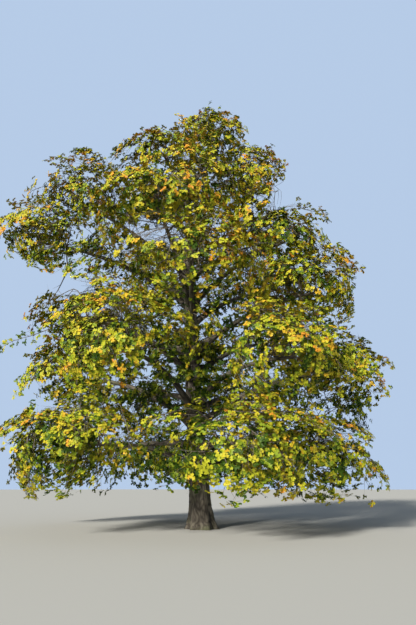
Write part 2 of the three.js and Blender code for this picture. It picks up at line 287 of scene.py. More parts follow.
TIERS = (
    Tier("skirt", height=2.75, foot=2.1, count=6, phase=44, left=6.1, right=5.1, front=5.4, back=5.4,
         radial=2.45, tangential=3.5, vertical=1.65, droop=20, limb=0.13, arch=0.9),
    Tier("low", height=5.9, foot=3.9, count=6, phase=8, left=5.5, right=6.3, front=5.7, back=5.8,
         radial=2.5, tangential=3.2, vertical=1.75, droop=12, limb=0.15, arch=0.9),
    Tier("middle", height=8.6, lean=-0.2, foot=6.1, count=6, phase=36, left=4.4, right=5.6, front=5.5,
         back=5.8, radial=2.5, tangential=3.1, vertical=1.7, droop=6, limb=0.15, arch=0.5),
    Tier("upper", height=11.9, lean=0.7, foot=8.5, count=5, phase=41, left=6.6, right=4.7, front=4.8,
         back=5.4, radial=2.5, tangential=3.2, vertical=1.75, droop=0, limb=0.14, arch=0.3),
    Tier("shoulder", height=13.9, lean=0.65, foot=10.8, count=4, phase=10, left=5.4, right=2.8, front=3.0,
         back=4.2, radial=2.5, tangential=3.1, vertical=1.7, droop=-6, limb=0.12, arch=0, leaf_skin=1.0),
    Tier("crest", height=16.3, foot=13.9, count=3, phase=0, left=3.9, right=3.2, front=2.1, back=2.6,
         radial=2.1, tangential=2.4, vertical=1.6, droop=-12, limb=0.11, arch=0, on_trunk=True),
    Tier("top", height=17.9, foot=15.2, count=1, phase=0, left=1.2, right=1.2, front=1.2, back=1.2,
         radial=2.3, tangential=2.2, vertical=1.7, droop=0, limb=0.11, arch=0, on_trunk=True,
         leaf_skin=0.93),
)


@dataclass(frozen=True)
class Scatter:
    """How far a mass strays from its ring, and over what height one tier's limbs climb the trunk."""

    turn: float = 7.0
    reach: float = 0.05
    height: float = 0.5
    climb: float = 1.5


@dataclass
class Limb:
    """A limb in one curve from the trunk's axis to the core of its mass.

    points are the four of its curve, and entry is the share of its way at which it enters the mass.
    """

    points: Array
    root_radius: float
    bare: float
    taper: float = 0.66
    taper_power: float = 0.8
    collar: float = 0.55
    collar_reach: float = 0.4
    entry: float = 1.0

    def at(self, t: Any) -> Array:
        """Points on the limb's axis.

        Args:
            t: Shares of the way along it.

        Returns:
            The points.
        """
        t = np.asarray(t, float)[..., None]
        a, b, c, d = self.points
        return (1 - t)**3 * a + 3 * (1 - t)**2 * t * b + 3 * (1 - t) * t**2 * c + t**3 * d

    def length(self) -> float:
        """The length of the limb's axis."""
        points = self.at(np.linspace(0, 1, 201))
        return float(np.linalg.norm(np.diff(points, axis=0), axis=1).sum())

    def radius(self, t: Any) -> Array:
        """The limb's radius, with the collar that swells round its root.

        Args:
            t: Shares of the way along it.

        Returns:
            The radii.
        """
        t = np.asarray(t, float)
        beyond = np.maximum(t * self.length() - self.bare, 0)
        swelling = self.root_radius * self.collar * np.exp(-beyond / self.collar_reach)
        return self.root_radius * (1 - self.taper * t**self.taper_power) + swelling


@dataclass
class Mass:
    """One mass of foliage: an ellipsoid of space that its limb, twigs and leaves keep to.

    axes holds its own directions outwards, along its ring and upwards as rows, and half its half sizes.
    """

    name: str
    seed: int
    tier: Tier
    outward: Array
    reach: float
    foot: float
    centre: Array
    axes: Array
    half: Array
    limb: Limb = field(init=False)

    def depth(self, points: Array) -> Array:
        """How far points lie on the way from its centre, 0, to its skin, 1."""
        return np.linalg.norm((points - self.centre) @ self.axes.T / self.half, axis=-1)

    def outwards(self, points: Array) -> Array:
        """The directions in which the mass's skin faces at points in it."""
        return unit((points - self.centre) @ self.axes.T / self.half**2 @ self.axes)

    def at(self, place: Array) -> Array:
        """Points from their places, as shares of the half sizes along its own axes."""
        return self.centre + (np.asarray(place) * self.half) @ self.axes


@dataclass(frozen=True)
class Layout:
    """Lays out the masses and their limbs as the solids have them."""

    trunk: TrunkShape = TrunkShape()
    scatter: Scatter = Scatter()
    core: Triple = (0.12, 0.0, -0.1)
    start_reach: float = 0.34
    start_rise: float = 0.42
    finish_reach: float = 0.36
    finish_rise: float = 0.08
    finish_arch: float = 0.5
    entry: float = 0.93
    entry_step: float = 0.005

    def mass(self, tier: Tier, tier_index: int, i: int) -> Mass:
        """One mass of a tier with its limb.

        Args:
            tier: The ring it belongs to.
            tier_index: The ring's number from below.
            i: Its number round the ring.

        Returns:
            The mass.
        """
        seed = TIER_SEEDS * (tier_index + 1) + i
        turned = self.scatter.turn * float(spread(seed, Draw.TURN))
        turn = math.radians(tier.phase + 360 / tier.count * i + turned)
        outward = np.array([math.cos(turn), math.sin(turn), 0.0])
        across = outward[0] * (tier.right if outward[0] > 0 else tier.left)
        deep = outward[1] * (tier.back if outward[1] > 0 else tier.front)
        reach = math.hypot(across, deep) * (1 + self.scatter.reach * float(spread(seed, Draw.REACH)))
        strayed = self.scatter.height * float(spread(seed, Draw.HEIGHT))
        height = tier.height - tier.lean * outward[0] + strayed
        droop = math.radians(tier.droop)
        out = outward * math.cos(droop) - UP * math.sin(droop)
        along = np.array([-outward[1], outward[0], 0.0])
        up = outward * math.sin(droop) + UP * math.cos(droop)
        mass = Mass(
            name=f"{tier.name}_{i + 1}",
            seed=seed,
            tier=tier,
            outward=outward,
            reach=reach,
            foot=tier.foot + self.scatter.climb * ((2 * i) % tier.count) / tier.count,
            centre=self.trunk.centre(height) + outward * reach,
            axes=np.stack([out, along, up]),
            half=np.array([tier.radial, tier.tangential, tier.vertical]),
        )
        mass.limb = self.limb(mass)
        return mass

    def limb(self, mass: Mass) -> Limb:
        """The limb that carries a mass.

        Args:
            mass: The mass.

        Returns:
            The limb.
        """
        root = self.trunk.centre(mass.foot)
        core = mass.at(np.array(self.core))
        rise = core[2] - root[2]
        first = root + mass.outward * self.start_reach * mass.reach
        first[2] += self.start_rise * rise + mass.tier.arch
        second = core - mass.outward * self.finish_reach * mass.reach
        second[2] += self.finish_arch * mass.tier.arch - self.finish_rise * rise
        bare = float(self.trunk.girth(mass.foot, 0))
        limb = Limb(np.stack([root, first, second, core]), mass.tier.limb, bare)
        steps = np.arange(0, 1, self.entry_step)
        limb.entry = float(steps[np.argmax(mass.depth(limb.at(steps)) <= self.entry)])
        return limb

    def masses(self) -> list[Mass]:
        """All the masses, from the skirt to the top."""
        return [self.mass(tier, n, i) for n, tier in enumerate(TIERS) for i in range(tier.count)]


@dataclass
class Rows:
    """Many things of a kind at once: every field is an array with one row for each."""

    def chosen(self, keep: Chosen) -> Any:
        """Only the chosen ones."""
        return type(self)(*(getattr(self, item.name)[keep] for item in fields(self)))


@dataclass
class Sprigs(Rows):
    """Leafy branchlets: each is a root, the way it grows, the way its upper face looks and a size."""

    root: Array
    way: Array
    face: Array
    length: Array
    width: Array
    seed: Whole
    mass: Whole

    @property
    def across(self) -> Array:
        """The direction to the left-hand side of each sprig."""
        return np.cross(self.face, self.way)

    def place(self, along: Any, sideways: Any, above: Any) -> Array:
        """Points of every sprig from its own coordinates, whose first axis counts the sprigs.

        Args:
            along: Metres along the way it grows.
            sideways: Metres to its left.
            above: Metres above it.

        Returns:
            The points.
        """
        along, sideways, above = np.broadcast_arrays(along, sideways, above)
        spare = (slice(None),) + (None,) * (along.ndim - 1)
        return (self.root[spare] + along[..., None] * self.way[spare]
                + sideways[..., None] * self.across[spare] + above[..., None] * self.face[spare])


@dataclass(frozen=True)
class TwigRule:
    """The rule by which the solids' twigs leave the stem of a mass for places spread round it.

    places is how many there are round a whole mass. The rest is as in the solids: where on the stem a twig
    starts, how early it turns, how its end spray lies, and the sizes that are tried in turn. Twigs of a
    later rule count from first_index. They may reach to the skin bridge where another mass is as near, and
    their sprays lie no nearer to the middle than least_depth. checks is at how many points a twig is
    checked, and rings how many rings its tube has.
    """

    places: int = 5
    least_down: float = -0.7
    least_out: float = -0.75
    foot_middle: float = 0.55
    foot_reach: float = 0.4
    bend: float = 0.4
    length: float = 2.3
    width: float = 2.05
    thickness: float = 0.044
    outline: tuple[tuple[float, float], ...] = ((0.4, 0.5), (0.55, 0.22), (0.8, 0.36), (1, 0))
    heart: float = 0.5
    sizes: tuple[float, ...] = (1, 0.87, 0.74, 0.62, 0.5)
    depth: float = 0.7
    retreat: float = 0.8
    lay: float = 0.6
    droop: float = 0.35
    tilt: float = 0.16
    side_feet: tuple[float, ...] = (0.5, 0.8)
    side_turn: float = 58.0
    side_sizes: tuple[float, ...] = (0.92, 0.8, 0.68, 0.58)
    skin: float = 0.985
    between: float = 0.035
    bridge: float = 0.0
    least_depth: float = 0.0
    limb_gap: float = 0.06
    twig_radius: float = 0.03
    first_index: int = 0
    checks: int = 8
    rings: int = 6

    def directions(self, mass: Mass) -> list[Array]:
        """The places that twigs grow to: a spiral over the mass, without those below and behind.

        Args:
            mass: The mass.

        Returns:
            The places, as shares of its half sizes.
        """
        found = []
        for k in range(self.places):
            up = 1 - 2 * (k + 0.5) / self.places
            ring = math.sqrt(1 - up * up)
            turned = 2 * math.pi * float(chance(mass.seed, Draw.PLACES + self.first_index))
            turn = GOLDEN_ANGLE * k + turned
            if up > self.least_down and ring * math.cos(turn) > self.least_out:
                found.append(np.array([ring * math.cos(turn), ring * math.sin(turn), up]))
        return found


@dataclass
class Twig:
    """A twig on its curve from the stem, and the way, the face and the size of the spray at its end."""

    points: Array
    way: Array
    face: Array
    size: float
    mass: int
    seed: int

    def at(self, t: Any) -> Array:
        """Points along the twig.

        Args:
            t: Shares of the way along it.

        Returns:
            The points.
        """
        t = np.asarray(t, float)[..., None]
        a, b, c = self.points
        return (1 - t)**2 * a + 2 * (1 - t) * t * b + t**2 * c

    def tangent(self, t: float) -> Array:
        """The way it runs there."""
        a, b, c = self.points
        return unit((1 - t) * (b - a) + t * (c - b))


@dataclass(frozen=True)
class ShootRule:
    """Short shoots on the bare boughs, to the left and the right in turn, and all round the upper trunk.

    first and spacing are metres along the bough, and turn and rise say how its shoots stand off. On a tier
    that droops by full_droop they sink by sag and are longer by stretch. Sizes are drawn between least and
    1, and stray and face_stray are how far the shoots stray. Those on the trunk stand between the heights
    trunk_from and trunk_to, and each goes with the mass that is nearest to the place trunk_reach out.
    """

    first: float = 1.0
    spacing: float = 0.5
    turn: float = 62.0
    rise: float = 0.25
    sag: float = 0.8
    full_droop: float = 20.0
    stretch: float = 0.5
    length: float = 1.6
    width: float = 1.45
    least: float = 0.6
    stray: float = 0.3
    face_stray: float = 0.35
    ahead_step: float = 0.01
    trunk_from: float = 5.2
    trunk_to: float = 16.2
    trunk_count: int = 40
    trunk_reach: float = 2.0


class Bears(Enum):
    """What the side twigs of a branch bear."""

    NOTHING = "nothing, as the branch is dead"
    SPRAYS = "a spray of leaves at each tip"
    SPRIGS = "a whole sprig at each tip"


@dataclass(frozen=True)
class Runner:
    """A branch that reaches out of its mass, with short side twigs to the left and the right in turn.

    share is where on the limb it starts, and points are the places that it passes, in metres. Its radius
    falls to one part in thinning. Its side twigs start at the share first of its length. They are reach
    long, times longest at its foot and less by narrowing at its tip, and what they bear looks towards face.
    """

    mass: str
    share: float
    points: tuple[Triple, ...]
    first: float
    twigs: int
    reach: float = 0.35
    radius: float = 0.03
    bears: Bears = Bears.SPRIGS
    rings: int = 12
    thinning: float = 5.0
    lean_ahead: float = 0.7
    side_toss: float = 0.4
    bow: float = 0.05
    longest: float = 1.2
    narrowing: float = 0.6
    reach_toss: float = 0.3
    side_radii: tuple[float, float] = (0.009, 0.003)
    face: Triple = (-0.4, -0.7, 0.6)
    sprig_length: float = 1.35
    sprig_width: float = 1.2
    sprig_toss: float = 0.2

    def stem(self, limb: Limb) -> Array:
        """Points along it, evenly spaced from its root on the limb.

        Args:
            limb: The limb that it grows from.

        Returns:
            The points.
        """
        corners = np.concatenate([limb.at(np.array([self.share])), np.array(self.points)])
        along = np.concatenate([[0], np.cumsum(np.linalg.norm(np.diff(corners, axis=0), axis=1))])
        steps = np.linspace(0, along[-1], self.rings)
        return np.stack([np.interp(steps, along, corners[:, axis]) for axis in range(3)], axis=-1)

    def side_twigs(self, stem: Array, seed: int) -> tuple[Array, Array]:
        """Its side twigs.

        Args:
            stem: Points along it.
            seed: Its number.

        Returns:
            The points of each, from foot to tip, and the way each grows.
        """
        number = np.arange(self.twigs)
        share = self.first + (1 - self.first) * (number + 0.5) / self.twigs
        place = share * (self.rings - 1)
        rings = np.arange(self.rings)
        foot = np.stack([np.interp(place, rings, stem[:, axis]) for axis in range(3)], axis=-1)
        near = np.minimum(place.astype(int), self.rings - 2)
        ahead = unit(stem[near + 1] - stem[near])
        across = np.cross(ahead, [0.0, 1.0, 0.0]) * np.where(number % 2, 1.0, -1.0)[:, None]
        tossed = self.side_toss * toss(seed, RunnerDraw.TOSS + number, RunnerDraw.TOSS)
        way = unit(self.lean_ahead * ahead + across + tossed)
        reach = self.reach * (self.longest - self.narrowing * share)
        reach = reach * (1 + self.reach_toss * spread(seed, RunnerDraw.REACH + number))
        bend = foot + way * reach[:, None] * 0.5 + self.bow * tossed
        return np.stack([foot, bend, foot + way * reach[:, None]], axis=1), way


RUNNERS = (
    # The dead branch under the left-hand side of the crown, and the long shoot below it.
    Runner("upper_3", 0.8, ((-5.95, -1.4, 10.6), (-6.18, -1.6, 9.6), (-6.58, -1.7, 8.83), (-6.85, -1.7, 8.3),
                            (-7.15, -1.7, 7.6)), first=0.45, twigs=9, reach=0.55, radius=0.035,
           bears=Bears.NOTHING),
    Runner("middle_4", 0.97, ((-6.0, -2.6, 7.5), (-6.71, -2.6, 7.2), (-7.3, -2.7, 7.0), (-7.9, -2.8, 6.6)),
           first=0.4, twigs=16, reach=0.3, radius=0.028, bears=Bears.SPRAYS),
    # Leafy branches that close the hollows at the left-hand shoulder and before the bough under it.
    Runner("upper_3", 0.4, ((-4.3, -1.9, 11.6), (-4.9, -2.4, 12.0), (-5.3, -2.7, 12.2)), first=0.25,
           twigs=6),
    Runner("upper_3", 0.6, ((-5.0, -1.9, 11.3), (-5.5, -2.4, 11.5), (-6.2, -2.7, 11.4)), first=0.2, twigs=6),
    Runner("upper_3", 0.3, ((-3.9, -1.9, 10.7), (-4.4, -2.5, 11.0), (-5.0, -2.8, 10.9)), first=0.2, twigs=6),
    Runner("shoulder_3", 0.75, ((-4.1, -1.6, 15.1), (-4.4, -1.9, 15.8), (-4.6, -2.0, 16.2)), first=0.25,
           twigs=8, reach=0.3),
    # The same above the skirt at the right, and all round under the top.
    Runner("skirt_6", 0.8, ((4.3, -1.9, 3.9), (4.8, -2.0, 4.6), (5.4, -2.0, 4.9)), first=0.3, twigs=8),
    Runner("top_1", 0.25, ((-0.6, 0.9, 16.7), (-1.2, 1.5, 17.2), (-1.6, 1.8, 17.5)), first=0.25, twigs=7),
    Runner("top_1", 0.25, ((0.9, 1.0, 16.7), (1.5, 1.5, 17.1), (1.9, 1.8, 17.3)), first=0.25, twigs=7),
    Runner("top_1", 0.3, ((0.2, 1.1, 16.9), (0.1, 1.8, 17.2), (0.3, 2.3, 17.2)), first=0.2, twigs=6),
    Runner("top_1", 0.25, ((0.2, -0.9, 16.7), (0.4, -1.5, 17.1), (0.3, -2.0, 17.2)), first=0.25, twigs=6),
)


class Crown:
    """All the masses with their limbs, and what grows in them by the solids' rule.

    recess is how far out in any other mass a bridging twig must be, and step the distance between the
    samples of the bare limbs.
    """

    recess = 0.8
    step = 0.09

    def __init__(self, layout: Layout) -> None:
        """Lays out the masses and takes samples of the bare limbs, to keep off them.

        Args:
            layout: Where the masses are.
        """
        self.layout = layout
        self.masses = layout.masses()
        self.samples, self.radii = self.sample_limbs()

    def sample_limbs(self) -> tuple[Array, Array]:
        """Takes samples of the trunk and the bare boughs.

        Returns:
            Points along their axes, and the radius at each.
        """
        trunk = self.layout.trunk
        heights = np.arange(0, trunk.height, self.step)
        points, radii = [trunk.centre(heights)], [trunk.girth(heights, 0)]
        for mass in self.masses:
            if mass.tier.on_trunk:
                continue
            count = math.ceil(mass.limb.length() * mass.limb.entry / self.step) + 1
            shares = np.linspace(0, mass.limb.entry, count)
            points.append(mass.limb.at(shares))
            radii.append(mass.limb.radius(shares))
        return np.concatenate(points), np.concatenate(radii)

    def keeps(self, number: int, points: Array, skin: float, between: float,
              bridge: float = 0.0) -> Chosen:
        """Whether points keep to the space of their own mass, or to the recess between it and the next.

        Args:
            number: Which mass it is.
            points: The points.
            skin: How far out they may lie.
            between: How much nearer they must be to their own mass than to any other.
            bridge: How far out they may lie where another mass is as near, or 0.

        Returns:
            One answer for each point.
        """
        own = self.masses[number].depth(points)
        others = np.min([mass.depth(points) for n, mass in enumerate(self.masses) if n != number], axis=0)
        inside = (own <= skin) & (others > own + between)
        return inside | ((own <= bridge) & (others <= bridge) & (others > self.recess))

    def off_limbs(self, points: Array, gap: float) -> bool:
        """Whether all the points lie at least this far from the bare limbs."""
        apart = np.linalg.norm(points[:, None] - self.samples[None], axis=-1)
        return bool(np.all(apart >= self.radii + gap))

    def spray_is_clear(self, rule: TwigRule, number: int, root: Array, way: Array, face: Array,
                       size: float) -> bool:
        """Whether the solids' flat spray would keep to its space and off the limbs.

        Args:
            rule: The rule with its outline.
            number: The mass it grows in.
            root: Where it starts.
            way: The way it grows.
            face: The way its upper face looks.
            size: Its share of the full size.

        Returns:
            True if it is clear.
        """
        across = np.cross(face, way)
        length, width = rule.length * size, rule.width * size
        half = [(along, sideways * side) for side in (1, -1) for along, sideways in rule.outline]
        outline = [root + way * along * length + across * sideways * width for along, sideways in half]
        inner = (np.array(outline) + root + way * rule.heart * length) / 2
        checked = np.concatenate([outline, inner])
        if not self.keeps(number, checked, rule.skin, rule.between, rule.bridge).all():
            return False
        apart, gap = self.samples - root, self.radii + rule.limb_gap
        along, aside, above = apart @ way, np.abs(apart @ across), np.abs(apart @ face)
        beside = (aside > width / 2 + gap) | (above > rule.thickness / 2 + gap)
        return bool(np.all((along < -gap) | (along > length + gap) | beside))

    def face(self, rule: TwigRule, mass: Mass, place: Array, index: int) -> Array:
        """The way a spray's upper face looks: between straight up and straight out of the mass.

        Args:
            rule: The rule it grows by.
            mass: The mass it grows in.
            place: Where in the mass it grows to.
            index: Its number in the mass.

        Returns:
            The direction.
        """
        skin = unit((place / mass.half) @ mass.axes)
        face = (1 - rule.lay) * UP + rule.lay * skin
        face[0] += rule.tilt * float(spread(mass.seed, Draw.TILT_ACROSS + index))
        face[1] += rule.tilt * float(spread(mass.seed, Draw.TILT_DEPTH + index))
        return unit(face)

    def grow_twig(self, rule: TwigRule, number: int, place: Array, index: int) -> Twig | None:
        """The twig to one place on a mass with the largest spray that keeps to its space.

        Args:
            rule: The rule it grows by.
            number: Which mass it grows in.
            place: Where on the mass it grows to.
            index: Its number in the mass.

        Returns:
            The twig, or None where no size fits.
        """
        mass = self.masses[number]
        face = self.face(rule, mass, place, index)
        share = rule.foot_middle + rule.foot_reach * place[0]
        foot = mass.limb.at(mass.limb.entry + (1 - mass.limb.entry) * share)
        for size in rule.sizes:
            middle = mass.at(place * rule.depth * (1 - rule.retreat * (1 - size)))
            if mass.depth(middle[None])[0] < rule.least_depth:
                continue
            way = on_plane(unit(middle - foot) - UP * rule.droop, face)
            root = middle - way * 0.5 * rule.length * size
            turn = root - way * rule.bend * np.linalg.norm(foot - root)
            seed = MASS_SEEDS * mass.seed + TWIG_SEEDS * index
            twig = Twig(np.stack([foot, turn, root]), way, face, size, number, seed)
            points = twig.at(np.linspace(0, 1, rule.checks + 1)[1:])
            clear = self.keeps(number, points, rule.skin, rule.between, rule.bridge).all()
            if clear and self.off_limbs(points, rule.twig_radius + rule.limb_gap) \
                    and self.spray_is_clear(rule, number, root, way, face, size):
                return twig
        return None

    def grow(self, rule: TwigRule) -> tuple[list[Twig], Sprigs]:
        """All the twigs that grow by a rule, and the sprigs at their ends and sides.

        Args:
            rule: The rule they grow by.

        Returns:
            The twigs and the sprigs.
        """
        twigs: list[Twig] = []
        rows: list[tuple] = []
        for number, mass in enumerate(self.masses):
            for index, place in enumerate(rule.directions(mass), rule.first_index):
                twig = self.grow_twig(rule, number, place, index)
                if twig is None:
                    continue
                twigs.append(twig)
                rows.append((twig.points[2], twig.way, twig.face, twig.size, twig.seed, number))
                rows += self.side_sprigs(rule, twig, index)
        root, way, face, size, seed, mass = (np.array(column) for column in zip(*rows))
        return twigs, Sprigs(root, way, face, rule.length * size, rule.width * size, seed, mass)

    def shoots(self, rule: ShootRule) -> Sprigs:
        """The sprigs on the bare boughs and the trunk.

        Args:
            rule: How they stand.

        Returns:
            The sprigs, each with the mass of its bough, or on the trunk with the nearest one.
        """
        rows = []
        for number, mass in enumerate(self.masses):
            limb, length = mass.limb, mass.limb.length()
            hanging = max(mass.tier.droop, 0) / rule.full_droop
            bare = 0 if mass.tier.on_trunk else limb.entry
            for n, along in enumerate(np.arange(limb.bare + rule.first, bare * length, rule.spacing)):
                seed = MASS_SEEDS * mass.seed + SHOOT_SEED + n
                ahead = unit(limb.at(along / length + rule.ahead_step) - limb.at(along / length))
                turn = math.radians(rule.turn) * (1 if n % 2 else -1)
                turn = turn * (1 + rule.stray * float(spread(seed, ShootDraw.TURN)))
                face = unit(UP + rule.stray * toss(seed, ShootDraw.FACE))
                way = unit(swung(on_plane(ahead, face), face, turn) + UP * (rule.rise - rule.sag * hanging))
                rows.append((limb.at(along / length), way, 1 + rule.stretch * hanging, seed, number))
        centres = np.array([mass.centre for mass in self.masses])
        for n in range(rule.trunk_count):
            seed = TRUNK_SEED + n
            height = rule.trunk_from + (rule.trunk_to - rule.trunk_from) * (n + 0.5) / rule.trunk_count
            turn = GOLDEN_ANGLE * n
            rise = rule.rise + rule.stray * float(spread(seed, ShootDraw.TURN))
            way = unit(np.array([math.cos(turn), math.sin(turn), rise]))
            root = self.layout.trunk.centre(height)
            nearest = int(np.argmin(np.linalg.norm(centres - root - rule.trunk_reach * way, axis=1)))
            rows.append((root, way, 1.0, seed, nearest))
        root, way, size, seed, mass = (np.array(column) for column in zip(*rows))
        size = size * (rule.least + (1 - rule.least) * chance(seed, ShootDraw.SIZE))
        face = on_plane(UP + rule.face_stray * toss(seed, ShootDraw.TOSS), way)
        return Sprigs(root, way, face, rule.length * size, rule.width * size, seed, mass)

    def side_sprigs(self, rule: TwigRule, twig: Twig, index: int) -> list[tuple]:
        """The sprigs that leave a twig to the left and the right in turn.

        Args:
            rule: The rule they grow by.
            twig: The twig.
            index: Its number in the mass.

        Returns:
            A row for each: root, way, face, size, seed and mass.
        """
        rows = []
        for side, foot in enumerate(rule.side_feet):
            turn = math.radians(rule.side_turn) * (1 if (side + index) % 2 else -1)
            way = swung(on_plane(twig.tangent(foot), twig.face), twig.face, turn)
            root = twig.at(foot)
            for size in rule.side_sizes:
                if self.spray_is_clear(rule, twig.mass, root, way, twig.face, size):
                    rows.append((root, way, twig.face, size, twig.seed + side + 1, twig.mass))
                    break
        return rows


@dataclass(frozen=True)
class LeafShape:
    """One leaf: its lobed outline from base to tip as shares of its length and width, folded at its rib."""

    length: float = 0.121
    width: float = 0.101
    outline: tuple[tuple[float, float], ...] = ((0.36, 0.4), (0.5, 0.14), (0.76, 0.5))
    fold: float = 0.28
    curl: float = 0.22

    def model(self) -> tuple[Array, NDArray[np.int32]]:
        """Models the leaf once.

        Returns:
            Its points and its triangles.
        """
        right = [(along, -across) for along, across in self.outline]
        left = [(along, across) for along, across in reversed(self.outline)]
        rim = [(0.0, 0.0), *right, (1.0, 0.0), *left]
        bpy.ops.mesh.primitive_circle_add(vertices=len(rim), radius=1, fill_type="NGON")
        leaf = bpy.context.object
        for vertex, (along, across) in zip(leaf.data.vertices, rim):
            lift = self.fold * abs(across) * self.width - self.curl * along**2 * self.length / 2
            vertex.co = (along * self.length, across * self.width, lift)
            vertex.select = across == 0
        for edge in leaf.data.edges:
            edge.select = False
        for face in leaf.data.polygons:
            face.select = False
        bpy.ops.object.mode_set(mode="EDIT")
        bpy.ops.mesh.vert_connect()
        bpy.ops.mesh.select_all(action="SELECT")
        bpy.ops.mesh.quads_convert_to_tris(ngon_method="CLIP")
        bpy.ops.object.mode_set(mode="OBJECT")
        points = np.array([vertex.co for vertex in leaf.data.vertices], float)
        faces = np.array([list(face.vertices) for face in leaf.data.polygons], np.int32)
        bpy.data.objects.remove(leaf)
        return points, faces


@dataclass
class Tubes(Rows):
    """Many twigs of the same number of rings: points (N, K, 3), radii (N, K), ranks and masses."""

    points: Array
    radii: Array
    ranks: Whole
    mass: Whole

    @classmethod
    def tapered(cls, points: Array, radii: tuple[float, float], rank: Rank, mass: Whole) -> "Tubes":
        """Twigs that taper evenly.

        Args:
            points: Their points, where the last two axes are rings and coordinates.
            radii: Their radius at the foot and at the tip.
            rank: How fine they are.
            mass: The mass of each, or of each group of them.

        Returns:
            The twigs.
        """
        rings = points.shape[-2]
        points = points.reshape(-1, rings, 3)
        count = len(points)
        return cls(points, np.broadcast_to(np.linspace(*radii, rings), (count, rings)), np.full(count, rank),
                   np.repeat(mass, count // len(mass)))

    def shortened(self, share: Array) -> "Tubes":
        """The same twigs, each ending at a share of its length.

        Args:
            share: One share for each.

        Returns:
            The twigs.
        """
        rings = self.points.shape[1]
        place = share[:, None] * np.arange(rings)
        before = np.minimum(place.astype(int), rings - 2)
        part = (place - before)[..., None]
        row = np.arange(len(share))[:, None]
        points = self.points[row, before] * (1 - part) + self.points[row, before + 1] * part
        return Tubes(points, self.radii, self.ranks, self.mass)

    def mesh(self, chosen: Chosen, sides: int) -> tuple[Array, Whole, Whole]:
        """The triangles of the chosen twigs, closed at both ends. Those of two rings run out in a point.

        Args:
            chosen: Which twigs to make.
            sides: How many sides they have.

        Returns:
            Points, triangles and the rank of each triangle.
        """
        points, radii = self.points[chosen], self.radii[chosen]
        count, rings, _ = points.shape
        ahead = unit(np.gradient(points, axis=1))
        side = unit(np.cross(ahead, np.where(np.abs(ahead[..., 2:]) > 0.9, [1.0, 0.0, 0.0], UP)))
        up = np.cross(side, ahead)
        angle = 2 * math.pi * np.arange(sides) / sides
        circle = (side[:, :, None] * np.cos(angle)[:, None] + up[:, :, None] * np.sin(angle)[:, None])
        ring = points[:, :, None] + radii[:, :, None, None] * circle
        if rings == 2:
            corners = np.concatenate([ring[:, 0], points[:, 1, None]], axis=1)
            one = self.spike(sides)
        else:
            corners = ring.reshape(count, rings * sides, 3)
            one = self.pipe(rings, sides)
        faces = one[None] + (np.arange(count) * corners.shape[1])[:, None, None]
        return corners.reshape(-1, 3), faces.reshape(-1, 3), np.repeat(self.ranks[chosen], len(one))

    @staticmethod
    def spike(sides: int) -> Whole:
        """The triangles of a closed cone whose last point is its tip."""
        walls = [[n, (n + 1) % sides, sides] for n in range(sides)]
        return np.array(walls + [[0, n + 1, n] for n in range(1, sides - 1)])

    @staticmethod
    def pipe(rings: int, sides: int) -> Whole:
        """The triangles of a closed tube.

        Args:
            rings: How many rings it has.
            sides: How many sides it has.

        Returns:
            The triangles.
        """
        grid = np.arange(rings * sides).reshape(rings, sides)
        a, b = grid[:-1], np.roll(grid[:-1], -1, axis=1)
        c, d = np.roll(grid[1:], -1, axis=1), grid[1:]
        walls = [np.stack(corners, -1).reshape(-1, 3) for corners in ((a, b, c), (a, c, d))]
        fan = np.array([[0, n + 1, n] for n in range(1, sides - 1)])
        return np.concatenate([*walls, fan, fan[:, ::-1] + (rings - 1) * sides])


